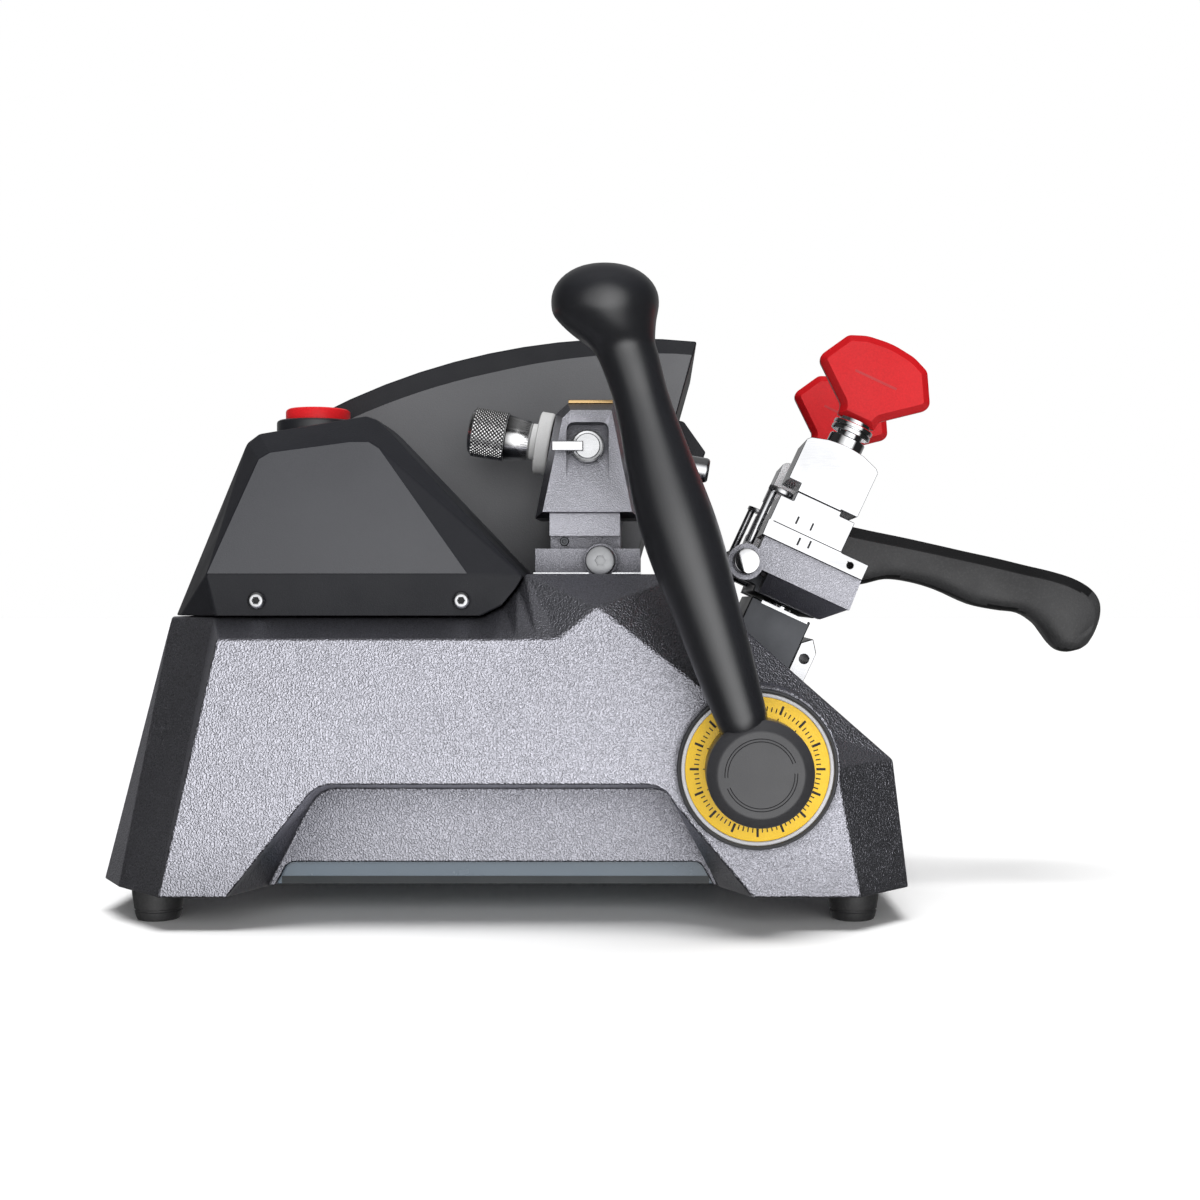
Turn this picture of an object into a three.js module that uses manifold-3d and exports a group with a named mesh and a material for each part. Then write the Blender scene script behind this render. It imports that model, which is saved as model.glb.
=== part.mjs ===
// Key duplicating machine: tracer and cutter heads over a tilting two-clamp table on a cast base.
// Units are millimetres. +X points to the operator, -Y is the operator's left, +Z is up.

import * as THREE from 'three';
import { mergeVertices } from 'three/addons/utils/BufferGeometryUtils.js';
import { ConvexGeometry } from 'three/addons/geometries/ConvexGeometry.js';
import Module from 'manifold-3d';

const wasm = await Module();
wasm.setup();

const DEG = Math.PI / 180;
const GAP = 0.3;
const FINE = 28;
const MEDIUM = 18;
const COARSE = 10;

// Distances from the working axes to the middle of the footprint.
const CENTRE_SHIFT = [12.95, 20.5, 0];

// Base casting
const GROUND_CLEARANCE = 15;
const SIDE_Y = 150;
const SHOULDER_Y = 122;
const MIDDLE_Y = 98;
const BASE_WALL = 6;
const BASE_TOP = 158;
const REAR_DECK = 138.5;
// Side face and shoulder outlines, point for point; repeated points make triangular facets.
const SIDE_OUTLINE = [
  [-219, 15], [-193, 129], [-70, 129], [-61, 129], [-52, 129], [-43, 129], [-25.5, 143],
  [-25.5, 143], [20, 108], [80, 72], [90.6, 15],
];
const DECK_STEP = [[-79, REAR_DECK], [-69.7, 143.1], [-63, 151.2], [-59, BASE_TOP]];
const shoulderOutline = (low, high) => [
  [low, 15], [high, REAR_DECK], ...DECK_STEP, [-59, BASE_TOP],
  [12, BASE_TOP], [12, BASE_TOP], [108.6, 73.2], [115.7, 15],
];
const SHOULDER_OUTLINE = shoulderOutline(-245, -201.3);
const MIDDLE_OUTLINE = shoulderOutline(-259, -227.4);
// The same step lifted by the joint between casting and covers.
const COVER_STEP = DECK_STEP.map(([x, z]) => [x - 0.4, z + 0.4]);
const RECESS_OUTER = [[-193, 10], [-149, 65], [2, 65], [48.2, 10]];
const RECESS_INNER = [[-180, 10], [-154, 60], [7, 60], [32, 10]];
const TRAY_WINDOW = [[-177, 10], [-168.5, 25.9], [20.6, 25.9], [30, 10]];
const RECESS_Y = 118;
const RECESS_WALL = 3.5;
const FOOT_HEIGHT = 15;
const FOOT_RADIUS = 12;
const FOOT_X = [-228, 91];
const FOOT_Y = 117;
const TRAY_X = [-176, 30];
const TRAY_Y = 114;

// Swing pivot, its shaft, and the lean of the table at rest
const PIVOT = [45, 72];
const TABLE_LEAN = 25 * DEG;
const LEVER_LEAN = 18.25 * DEG;
const LEVER_Y = -168;
const SHAFT_RADIUS = 9;
const BUSH_RADIUS = 14.7;
const DIAL_BOSS_RADIUS = 37;

// Tracer and cutter axes: parallel, dipping towards the operator
const AXIS_ORIGIN = [-31.6, 218.3];
const AXIS_DIP = 9.5 * DEG;
const STATION_Y = 75;
const NOSE_END = 58.4;
const NOSE_RADIUS = 6;

// Motor and belt, measured in the axis frame
const MOTOR_Y = 20;
const MOTOR_N = -46;
const MOTOR_RADIUS = 32;
const BELT_X = [-77, -69];
const PULLEY_X = [-79, -67];
const SPINDLE_PULLEY_RADIUS = 13;
const MOTOR_PULLEY_RADIUS = 20;
const BELT_THICKNESS = 2.5;

// Covers
const COVER_WALL = 3;
const HOOD_Y = [-40, 115];
const HOOD_ARC = { x: -12, z: -64.6, radius: 343 };
const HOOD_REAR_X = -189;
const HOOD_FRONT = [[-12, 158.4], [21.2, 276.7]];
const HOOD_BAND = 10.5;
const BUTTON = [-166, -60];
const COVER_SCREWS = [-181.3, -88.1];
const COVER_SCREW_Z = 146;
const COVER_Y = 124;

// Rear power panel
const REAR_LEAN = 14.5 * DEG;
const INLET = { x: -243.6, y: 60, z: 75 };

// Tracer head
const HEAD_Y = [-100, -50];
const TONGUE_Y = [-91.2, -58.8];
const HEAD_PIVOT = [-25.5, 164.6];

// Table, measured in the swing frame: x is forward off the post, z is up the post
const POST_HALF = 50;
const POST_TOP = 70.7;
const COLUMN = { x: -13, y: 30, radius: 6 };
const RAIL = { x: -41, z: 82.7, radius: 6, half: 112 };
const TABLE_HALF = 98;
const TABLE_TOP = 97.5;
const CLAMP_HALF = 25;
const SCREW_X = -20.5;

const PAINT = { color: 0xa9a9b2, roughness: 0.62, metalness: 0.25 };
const SATIN_BLACK = { color: 0x2e2f33, roughness: 0.5, metalness: 0.1 };
const COVER_GREY = { color: 0x4c4d51, roughness: 0.5, metalness: 0.1 };
const STEEL = { color: 0xb9babd, roughness: 0.28, metalness: 0.95 };
const CHROME = { color: 0xd6d7da, roughness: 0.12, metalness: 1 };
const RED = { color: 0xd6262b, roughness: 0.4, metalness: 0 };
const RUBBER = { color: 0x1b1b1c, roughness: 0.85, metalness: 0 };
const YELLOW = { color: 0xf5c622, roughness: 0.45, metalness: 0 };
const BRASS = { color: 0xb8975a, roughness: 0.35, metalness: 0.9 };
const TRAY_BLUE = { color: 0x4e5a66, roughness: 0.3, metalness: 0.4 };
const OXIDE = { color: 0x2a2b2e, roughness: 0.45, metalness: 0.7 };
const LENS = { color: 0xe8edf2, roughness: 0.2, metalness: 0 };

const root = new THREE.Group();

// ---- shape helpers -------------------------------------------------------------------------

function solid(geometry) {
  const bare = geometry.clone();
  bare.deleteAttribute('normal');
  bare.deleteAttribute('uv');
  const merged = mergeVertices(bare, 1e-4);
  const position = merged.attributes.position;
  const index = merged.index.array;
  const kept = [];
  let volume = 0;
  const corners = [new THREE.Vector3(), new THREE.Vector3(), new THREE.Vector3()];
  for (let i = 0; i < index.length; i += 3) {
    const triangle = [index[i], index[i + 1], index[i + 2]];
    if (new Set(triangle).size < 3) continue;
    corners.forEach((corner, k) => corner.fromBufferAttribute(position, triangle[k]));
    volume += corners[0].dot(corners[1].clone().cross(corners[2]));
    kept.push(triangle);
  }
  if (volume < 0) kept.forEach((triangle) => triangle.reverse());
  return new wasm.Manifold(new wasm.Mesh({
    numProp: 3,
    vertProperties: new Float32Array(position.array),
    triVerts: new Uint32Array(kept.flat()),
  }));
}

function join(first, ...others) {
  return others.reduce((body, other) => body.add(solid(other)), first);
}

function cut(first, ...others) {
  return others.reduce((body, other) => body.subtract(solid(other)), first);
}

function geometryOf(body) {
  const mesh = body.getMesh();
  const geometry = new THREE.BufferGeometry();
  geometry.setAttribute('position', new THREE.BufferAttribute(mesh.vertProperties, 3));
  geometry.setIndex(new THREE.BufferAttribute(mesh.triVerts, 1));
  return geometry;
}

function piece(name, body, finish, place = inWorld) {
  const geometry = place(geometryOf(body)).translate(...CENTRE_SHIFT).toNonIndexed();
  geometry.computeVertexNormals();
  const mesh = new THREE.Mesh(geometry, new THREE.MeshStandardMaterial(finish));
  mesh.name = name;
  root.add(mesh);
}

const inWorld = (geometry) => geometry;
const inSwing = (geometry) => geometry.rotateY(TABLE_LEAN).translate(PIVOT[0], 0, PIVOT[1]);
const inLever = (geometry) => geometry.rotateY(-LEVER_LEAN).translate(PIVOT[0], 0, PIVOT[1]);
const inAxis = (geometry) => geometry.rotateY(AXIS_DIP).translate(AXIS_ORIGIN[0], 0, AXIS_ORIGIN[1]);
const inRear = (geometry) => geometry.rotateY(REAR_LEAN).translate(INLET.x, INLET.y, INLET.z);

function shapeOf(outline) {
  return new THREE.Shape(outline.map(([x, z]) => new THREE.Vector2(x, z)));
}

// Outline in X and Z carried along Y from y0 to y1.
function prism(outline, y0, y1) {
  const depth = y1 - y0;
  return new THREE.ExtrudeGeometry(shapeOf(outline), { depth, bevelEnabled: false })
    .rotateX(Math.PI / 2)
    .translate(0, y1, 0);
}

// The same with edges broken by a bevel that stays inside the outline.
function softPrism(outline, y0, y1, bevel, inward, bevelSegments) {
  const options = {
    depth: y1 - y0 - 2 * bevel,
    bevelEnabled: true,
    bevelThickness: bevel,
    bevelSize: inward,
    bevelOffset: -inward,
    bevelSegments,
  };
  return new THREE.ExtrudeGeometry(shapeOf(outline), options)
    .rotateX(Math.PI / 2)
    .translate(0, y1 - bevel, 0);
}

function box(x0, x1, y0, y1, z0, z1) {
  return new THREE.BoxGeometry(x1 - x0, y1 - y0, z1 - z0)
    .translate((x0 + x1) / 2, (y0 + y1) / 2, (z0 + z1) / 2);
}

function alongY(radius, x, z, y0, y1, segments = MEDIUM) {
  return new THREE.CylinderGeometry(radius, radius, y1 - y0, segments)
    .translate(x, (y0 + y1) / 2, z);
}

function alongX(radius, y, z, x0, x1, segments = MEDIUM) {
  return new THREE.CylinderGeometry(radius, radius, x1 - x0, segments)
    .rotateZ(Math.PI / 2)
    .translate((x0 + x1) / 2, y, z);
}

function alongZ(radius, x, y, z0, z1, segments = MEDIUM) {
  return new THREE.CylinderGeometry(radius, radius, z1 - z0, segments)
    .rotateX(Math.PI / 2)
    .translate(x, y, (z0 + z1) / 2);
}

// Turned shapes: profile entries are [distance along the axis, radius].
function turned(profile, segments = MEDIUM) {
  return new THREE.LatheGeometry(profile.map(([h, r]) => new THREE.Vector2(r, h)), segments);
}

const turnedX = (profile, y, z, segments) => turned(profile, segments)
  .rotateZ(-Math.PI / 2)
  .translate(0, y, z);
const turnedY = (profile, x, z, segments) => turned(profile, segments).translate(x, 0, z);
const turnedZ = (profile, x, y, segments) => turned(profile, segments)
  .rotateX(Math.PI / 2)
  .translate(x, y, 0);

// Outline with each listed corner rounded by its own radius.
function rounded(outline, radii, steps) {
  const count = outline.length;
  return outline.flatMap((corner, i) => {
    const radius = radii[i] ?? 0;
    if (radius === 0) return [corner];
    const here = new THREE.Vector2(...corner);
    const before = new THREE.Vector2(...outline[(i + count - 1) % count]).sub(here).normalize();
    const after = new THREE.Vector2(...outline[(i + 1) % count]).sub(here).normalize();
    const half = Math.acos(before.dot(after)) / 2;
    const reach = radius / Math.tan(half);
    const start = here.clone().addScaledVector(before, reach);
    const end = here.clone().addScaledVector(after, reach);
    const curve = new THREE.QuadraticBezierCurve(start, here, end);
    return curve.getPoints(steps).map((point) => [point.x, point.y]);
  });
}

// Outline moved inwards by a distance; repeated points stay repeated.
function inset(outline, distance) {
  const area = THREE.ShapeUtils.area(outline.map(([x, z]) => new THREE.Vector2(x, z)));
  const turn = Math.sign(area) * distance;
  const same = (a, b) => a[0] === b[0] && a[1] === b[1];
  const count = outline.length;
  return outline.map((corner, i) => {
    let back = i;
    let ahead = i;
    while (same(outline[back], corner)) back = (back + count - 1) % count;
    while (same(outline[ahead], corner)) ahead = (ahead + 1) % count;
    const here = new THREE.Vector2(...corner);
    const inDirection = here.clone().sub(new THREE.Vector2(...outline[back])).normalize();
    const outDirection = new THREE.Vector2(...outline[ahead]).sub(here).normalize();
    const middle = inDirection.clone().add(outDirection).normalize();
    const reach = turn / middle.dot(inDirection);
    return [corner[0] - middle.y * reach, corner[1] + middle.x * reach];
  });
}

// Closed body through matching outlines standing at successive Y stations.
function loft(stations) {
  const count = stations[0].outline.length;
  const positions = stations.flatMap(({ outline, y }) => outline.flatMap(([x, z]) => [x, y, z]));
  const index = [];
  for (let s = 0; s < stations.length - 1; s += 1) {
    for (let i = 0; i < count; i += 1) {
      const next = (i + 1) % count;
      const [a, b, c, d] = [s * count + i, s * count + next, (s + 1) * count + next, (s + 1) * count + i];
      const mirrored = s >= (stations.length - 1) / 2;
      if (mirrored) index.push(a, b, d, b, c, d);
      else index.push(a, b, c, a, c, d);
    }
  }
  const cap = (station, offset, flip) => {
    const points = station.outline.map(([x, z]) => new THREE.Vector2(x, z));
    THREE.ShapeUtils.triangulateShape(points, []).forEach((face) => {
      const triangle = flip ? [...face].reverse() : face;
      index.push(...triangle.map((k) => k + offset));
    });
  };
  const firstPoints = stations[0].outline.map(([x, z]) => new THREE.Vector2(x, z));
  const clockwise = THREE.ShapeUtils.isClockWise(firstPoints);
  cap(stations[0], 0, !clockwise);
  cap(stations[stations.length - 1], (stations.length - 1) * count, clockwise);
  const geometry = new THREE.BufferGeometry();
  geometry.setAttribute('position', new THREE.Float32BufferAttribute(positions, 3));
  geometry.setIndex(index);
  return geometry;
}

// ---- base ------------------------------------------------------------------------------------

function baseBody(outlines, distances) {
  const near = outlines.map((outline, i) => ({ outline, y: -distances[i] }));
  const far = outlines.map((outline, i) => ({ outline, y: distances[i] })).reverse();
  return loft([...near, ...far]);
}

const softenedTop = (outline, radius) => rounded(outline, [0, radius, radius, 0], 4);

function fingerRecess(side, outer, inner, innerY) {
  return loft([
    { outline: softenedTop(outer, 14), y: side * (SIDE_Y + 1) },
    { outline: softenedTop(inner, 14), y: side * innerY },
  ]);
}

function trayWindow(side) {
  const [y0, y1] = [side * (RECESS_Y - 6), side * (RECESS_Y + 0.5)].sort((a, b) => a - b);
  return prism(softenedTop(TRAY_WINDOW, 5), y0, y1);
}

function baseCasting() {
  const belowGround = (outline) => outline.map(([x, z], i) => {
    const lowest = i === 0 || i === outline.length - 1;
    return lowest ? [x, GROUND_CLEARANCE - 5] : [x, z];
  });
  const outlines = [SIDE_OUTLINE, SHOULDER_OUTLINE, MIDDLE_OUTLINE];
  const outer = solid(baseBody(outlines, [SIDE_Y, SHOULDER_Y, MIDDLE_Y]));
  const cavityBody = baseBody(
    outlines.map((outline) => belowGround(inset(outline, BASE_WALL))),
    [SIDE_Y - BASE_WALL, SHOULDER_Y - BASE_WALL / 2, MIDDLE_Y - BASE_WALL / 4],
  );
  const grown = (outline, distance) => inset(outline, -distance);
  let cavity = solid(cavityBody);
  [-1, 1].forEach((side) => {
    const wall = fingerRecess(
      side,
      grown(RECESS_OUTER, BASE_WALL),
      grown(RECESS_INNER, BASE_WALL),
      RECESS_Y - RECESS_WALL,
    );
    cavity = cut(cavity, wall);
  });
  let body = outer.subtract(cavity);
  const webs = [[-252, TRAY_X[0] - 2], [TRAY_X[1] + 4, 118]];
  webs.forEach(([x0, x1]) => {
    const web = solid(box(x0, x1, -SIDE_Y, SIDE_Y, GROUND_CLEARANCE, GROUND_CLEARANCE + BASE_WALL));
    body = body.add(outer.intersect(web));
  });
  body = join(
    body,
    alongY(DIAL_BOSS_RADIUS, ...PIVOT, -SIDE_Y, -RECESS_Y + 8, FINE),
    alongY(24, ...PIVOT, RECESS_Y - 8, SIDE_Y - 2, MEDIUM),
  );
  [-1, 1].forEach((side) => {
    COVER_SCREWS.forEach((x) => {
      const lugs = [side * 115.8, side * 120.4].sort((a, b) => a - b);
      body = join(body, box(x - 7, x + 7, ...lugs, REAR_DECK - 2, COVER_SCREW_Z + 6));
      const hole = [side * 115, side * 122].sort((a, b) => a - b);
      body = cut(body, alongY(2.3, x, COVER_SCREW_Z, ...hole, COARSE));
    });
    body = cut(body, fingerRecess(side, RECESS_OUTER, RECESS_INNER, RECESS_Y), trayWindow(side));
  });
  return cut(
    body,
    alongY(BUSH_RADIUS + GAP, ...PIVOT, -SIDE_Y - 1, -RECESS_Y + 20, FINE),
    alongY(BUSH_RADIUS + GAP, ...PIVOT, RECESS_Y - 20, SIDE_Y - 8, FINE),
    prism([[23, 130], [23, 170], [81, 170], [81, 80]], -POST_HALF - 4, POST_HALF + 4),
    inRear(box(-8, 10, -27.4, 27.4, -12.4, 12.4)),
  );
}

function bottomPlate() {
  const tray = solid(box(...TRAY_X, -TRAY_Y, TRAY_Y, GROUND_CLEARANCE + 0.4, GROUND_CLEARANCE + 17));
  return cut(tray, box(TRAY_X[0] - 1, TRAY_X[1] + 1, 2 - TRAY_Y, TRAY_Y - 2, GROUND_CLEARANCE + 2.4, 60));
}

function addFeet() {
  const profile = [[0, 0], [0, FOOT_RADIUS - 2.5], [1.5, FOOT_RADIUS - 1.5]];
  profile.push([FOOT_HEIGHT - GAP, FOOT_RADIUS], [FOOT_HEIGHT - GAP, 0]);
  const corners = { rear_left: [0, -1], rear_right: [0, 1], front_left: [1, -1], front_right: [1, 1] };
  Object.entries(corners).forEach(([corner, [end, side]]) => {
    piece(`foot_${corner}`, solid(turnedZ(profile, FOOT_X[end], side * FOOT_Y, MEDIUM)), RUBBER);
  });
}

function addBase() {
  piece('base_casting', baseCasting(), PAINT);
  piece('bottom_plate', bottomPlate(), TRAY_BLUE);
  addFeet();
  const supply = solid(box(-150, -60, -50, 50, GROUND_CLEARANCE + 2.8, 62));
  piece('power_supply', supply, STEEL);
}

// ---- covers ----------------------------------------------------------------------------------

function hoodOutline(grow) {
  const top = (x) => HOOD_ARC.z + Math.sqrt(HOOD_ARC.radius ** 2 - (x - HOOD_ARC.x) ** 2);
  const steps = 12;
  const arc = [];
  for (let i = 1; i <= steps; i += 1) {
    const x = HOOD_FRONT[1][0] + (i / steps) * (HOOD_REAR_X - HOOD_FRONT[1][0]);
    arc.push([x, top(x)]);
  }
  const outline = [
    [HOOD_REAR_X, REAR_DECK + 0.4], ...COVER_STEP, ...HOOD_FRONT, ...arc,
  ];
  return inset(outline, -grow);
}

function coverHull(t) {
  const points = [];
  const add = (x, y, z) => {
    const towards = (value, centre) => value - Math.sign(value - centre) * t;
    [-1, 1].forEach((side) => {
      points.push(new THREE.Vector3(towards(x, -135), side * (y - t), towards(z, 120)));
    });
  };
  [[-198, 130], [-200, 139], [-204.4, 158], [-85.1, 158], [-60, 157], [-64, 130]]
    .forEach(([x, z]) => add(x, COVER_Y, z));
  [[-183.9, 211.6], [-178.8, 214.8], [-142, 219.9], [-133.1, 219.9], [-128, 216.7]]
    .forEach(([x, z]) => add(x, COVER_Y - (z - BASE_TOP) * 0.267, z));
  [[-231.1, 130], [-193.9, 220.8], [-188.1, 225.2], [-137.4, 233.7], [-132.2, 232],
    [-127, 227.4], [-82.9, 179.9], [-67.3, 160], [-66, 130]].forEach(([x, z]) => add(x, 90, z));
  return new ConvexGeometry(points);
}

function rearCover() {
  const deck = [[-300, 100], [-300, REAR_DECK + 0.4], ...COVER_STEP, [-40, BASE_TOP + 0.4], [-40, 100]];
  let body = solid(coverHull(0)).subtract(solid(coverHull(COVER_WALL)));
  body = cut(
    body,
    prism(deck, -SIDE_Y, SIDE_Y),
    prism(hoodOutline(0.6), HOOD_Y[0] - 0.6, HOOD_Y[1] + 0.6),
    alongZ(20.2, ...BUTTON, 190, 250, FINE),
  );
  COVER_SCREWS.forEach((x) => {
    body = cut(body, alongY(2.3, x, COVER_SCREW_Z, -COVER_Y - 2, COVER_Y + 2, COARSE));
  });
  return body;
}

function coverScrew(x, side) {
  const head = [[116.2, 0], [116.2, 2], [COVER_Y + GAP, 2], [COVER_Y + GAP, 3.8]];
  head.push([COVER_Y + 1.4, 3.6], [COVER_Y + 2.5, 2.4], [COVER_Y + 2.5, 0]);
  const screw = solid(turnedY(head, 0, 0, COARSE));
  const socket = new THREE.CylinderGeometry(1.5, 1.5, 2.4, 6).translate(0, COVER_Y + 2.5, 0);
  const geometry = geometryOf(cut(screw, socket));
  return solid(geometry.rotateX(side < 0 ? Math.PI : 0).translate(x, 0, COVER_SCREW_Z));
}

function motorHood() {
  const inside = [HOOD_Y[0] + COVER_WALL, HOOD_Y[1] - COVER_WALL];
  const [rear, front] = [HOOD_REAR_X + COVER_WALL, HOOD_FRONT[0][0] - COVER_WALL];
  return cut(
    solid(prism(hoodOutline(0), ...HOOD_Y)),
    prism(inset(hoodOutline(0), COVER_WALL), ...inside),
    prism([[rear, 120], [rear, 160], [-75, 175], [front, 170], [front, 120]], ...inside),
    prism(inset(hoodOutline(0), HOOD_BAND), HOOD_Y[0] - 1, HOOD_Y[0] + 1),
    prism(inset(hoodOutline(0), HOOD_BAND), HOOD_Y[1] - 1, HOOD_Y[1] + 1),
    inAxis(alongX(14, STATION_Y, 0, 20, 70, MEDIUM)),
  );
}

function addButton() {
  const collar = [
    [205, 6.4], [205, 19.9], [233.2, 19.9], [234.2, 18.9], [234.2, 16],
    [228.5, 16], [228.5, 6.4], [205, 6.4],
  ];
  piece('button_collar', solid(turnedZ(collar, ...BUTTON, FINE)), SATIN_BLACK);
  const cap = [[210, 0], [210, 6], [233, 6], [233, 15.6], [238.6, 15.6], [239.6, 14.4], [240, 12], [240, 0]];
  piece('stop_button', solid(turnedZ(cap, ...BUTTON, FINE)), RED);
}

function addPowerPanel() {
  let body = join(solid(box(-3, -0.4, -30, 30, -15, 15)), box(-1, 22, -27, 27, -12, 12));
  body = cut(body, box(-4, 16, -23, 3, -8.5, 8.5), box(-4, 12, 7, 24, -10.5, 10.5));
  [[-16, 2.5], [-10, -3], [-4, 2.5]].forEach(([y, z]) => {
    body = join(body, box(5, 17, y - 1, y + 1, z - 2, z + 2));
  });
  piece('inlet_module', body, SATIN_BLACK, inRear);
  const rocker = [[5, -5], [5, 5], [0, 8.3], [-4.6, 8.3], [-1.8, 0], [-1, -8.3], [0.5, -8.3]];
  piece('power_rocker', solid(prism(rocker, 7.6, 23.4)), RED, inRear);
}

function addLamp() {
  const housing = [[10.7, 238.5], [14.8, 237.5], [26, 221.7], [23.5, 218], [5.3, 219]];
  piece('lamp_housing', solid(prism(housing, -28, 28)), SATIN_BLACK);
  const lens = [[21.5, 217.7], [7, 218.5], [7.5, 216.4], [20.5, 215.7]];
  piece('lamp_lens', solid(prism(lens, -25, 25)), LENS);
}

function addCovers() {
  piece('rear_cover', rearCover(), COVER_GREY);
  piece('motor_hood', motorHood(), COVER_GREY);
  const sides = { left: -1, right: 1 };
  const ends = { rear: COVER_SCREWS[0], front: COVER_SCREWS[1] };
  Object.entries(ends).forEach(([end, x]) => {
    Object.entries(sides).forEach(([side, sign]) => {
      piece(`cover_screw_${end}_${side}`, coverScrew(x, sign), STEEL);
    });
  });
  addButton();
  addPowerPanel();
  addLamp();
}

// ---- tracer head -----------------------------------------------------------------------------

function tracerBracket() {
  const block = solid(box(-56.2, -7.1, ...HEAD_Y, BASE_TOP + 0.4, 170.3));
  return cut(
    join(block, alongY(8, ...HEAD_PIVOT, HEAD_Y[0] - 2.4, HEAD_Y[0] + 1, MEDIUM)),
    box(-60, -12, TONGUE_Y[0] - 0.6, TONGUE_Y[1] + 0.6, 161, 175),
    box(-60, 0, -110, -40, 140, BASE_TOP + 0.4),
    alongY(4.3, ...HEAD_PIVOT, -110, -54, COARSE),
  );
}

function tracerHead() {
  const middle = [[-41.5, 239.3], [-19.5, 239.3], [-7.4, 185], [-56.8, 185], [-46.8, 234.5]];
  const face = [[-39.6, 235.4], [-20.4, 235.4], [-10.8, 187.6], [-52.8, 187.6], [-43.4, 231.6]];
  const chamfer = 8;
  const pocketDepth = 5;
  const pocketHeight = 25.3;
  const pocketBottom = 204;
  const pocketCorners = [[-41.6, 0], [-41.6, pocketHeight], [-21.7, pocketHeight], [-21.7, 0]];
  const pocket = rounded(pocketCorners, [0, 4, 4, 0], 4);
  const pocketTool = prism(pocket, -8, 0)
    .rotateX(Math.atan2(pocketDepth, pocketHeight) * -1)
    .translate(0, HEAD_Y[0], pocketBottom);
  const block = loft([
    { outline: face, y: HEAD_Y[0] },
    { outline: middle, y: HEAD_Y[0] + chamfer },
    { outline: middle, y: HEAD_Y[1] - chamfer },
    { outline: face, y: HEAD_Y[1] },
  ]);
  const body = join(
    solid(block),
    box(-49.6, -16.5, HEAD_Y[0] + 2, HEAD_Y[1] - 2, 176.4, 188),
    box(-49.6, -16.5, ...TONGUE_Y, 162.4, 178),
  );
  return cut(
    body,
    pocketTool,
    alongY(4.3, ...HEAD_PIVOT, -95, -55, COARSE),
    alongY(2.3, -43, 174, -95, -82, COARSE),
    alongY(3.3, ...AXIS_ORIGIN, -101, -76, COARSE),
    inAxis(alongX(NOSE_RADIUS + GAP, -STATION_Y, 0, -30, 40, MEDIUM)),
  );
}

function addTracerHead() {
  piece('tracer_bracket', tracerBracket(), OXIDE);
  piece('tracer_head', tracerHead(), PAINT);
  const plateCorners = [[-41.2, 239.6], [-41.2, 241.2], [-19.9, 241.2], [-19.9, 239.6]];
  const plate = rounded(plateCorners, [0, 0.6, 0.6, 0], 2);
  piece('head_cap_plate', solid(prism(plate, HEAD_Y[0] + 8.5, HEAD_Y[1] - 8.5)), BRASS);
  const boltHead = [[-107, 0], [-107, 5], [-106.2, 6], [-102.7, 6], [-102.7, 4], [-55, 4], [-55, 0]];
  const hexTool = new THREE.CylinderGeometry(2.9, 2.9, 5, 6).translate(HEAD_PIVOT[0], -106.5, HEAD_PIVOT[1]);
  piece('pivot_bolt', cut(solid(turnedY(boltHead, ...HEAD_PIVOT, MEDIUM)), hexTool), STEEL);
  const setHex = new THREE.CylinderGeometry(1, 1, 2, 6).translate(-43, -92, 174);
  piece('head_set_screw', cut(solid(alongY(2, -43, 174, -92, -84, COARSE)), setHex), OXIDE);
}

function addMicrometer() {
  const barrel = [[-50, 0], [-50, 6], [-28.7, 6], [-28.7, 8.7], [-25.7, 8.7], [-25.7, 14.4]];
  barrel.push([-25.1, 15], [-19.6, 15], [-19, 14.4], [-19, 0]);
  piece('micrometer_barrel', solid(turnedX(barrel, -STATION_Y, 0, FINE)), STEEL, inAxis);
  const thimble = [[-59.5, 0], [-59.5, 7], [-58.8, 9.6], [-57.2, 11.2], [-55.6, 11.85], [-40.3, 11.85]];
  thimble.push([-40.3, 10.9], [-29, 9.2], [-29, 6.3], [-50.5, 6.3], [-50.5, 0]);
  piece('micrometer_thimble', solid(turnedX(thimble, -STATION_Y, 0, FINE)), STEEL, inAxis);
  const nose = [[-17.4, 0], [-17.4, NOSE_RADIUS], [NOSE_END - 1, NOSE_RADIUS], [NOSE_END, NOSE_RADIUS - 1]];
  nose.push([NOSE_END, 3.2], [NOSE_END - 8, 3.2], [NOSE_END - 8, 0]);
  piece('tracer_spindle', solid(turnedX(nose, -STATION_Y, 0, MEDIUM)), STEEL, inAxis);
  const disc = [[-103.6, 0], [-103.6, 7], [-103, 7.6], [-100.4, 7.6], [-100.4, 3], [-82, 3], [-82, 0]];
  const bar = rounded([[-48.1, 216.2], [-48.1, 220.4], [-31.6, 220.4], [-31.6, 216.2]], [2, 2, 0, 0], 4);
  const lock = join(solid(turnedY(disc, ...AXIS_ORIGIN, MEDIUM)), prism(bar, -106.6, -103));
  piece('tracer_lock', lock, OXIDE);
}

// ---- cutter head and drive -------------------------------------------------------------------

function spindleHousing() {
  const tube = inAxis(alongX(22, STATION_Y, 0, -60, 24, FINE));
  const foot = box(-57, -18, 53, 97, BASE_TOP + 0.4, 205);
  return cut(
    join(solid(tube), foot),
    inAxis(alongX(14, STATION_Y, 0, -61, 25, FINE)),
    inAxis(alongX(19, STATION_Y, 0, 7.5, 25, FINE)),
    inAxis(alongX(19, STATION_Y, 0, -61, -43.5, FINE)),
  );
}

function bearing(x0, x1) {
  return solid(turnedX([[x0, 10.3], [x0, 18.7], [x1, 18.7], [x1, 10.3], [x0, 10.3]], STATION_Y, 0, FINE));
}

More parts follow.
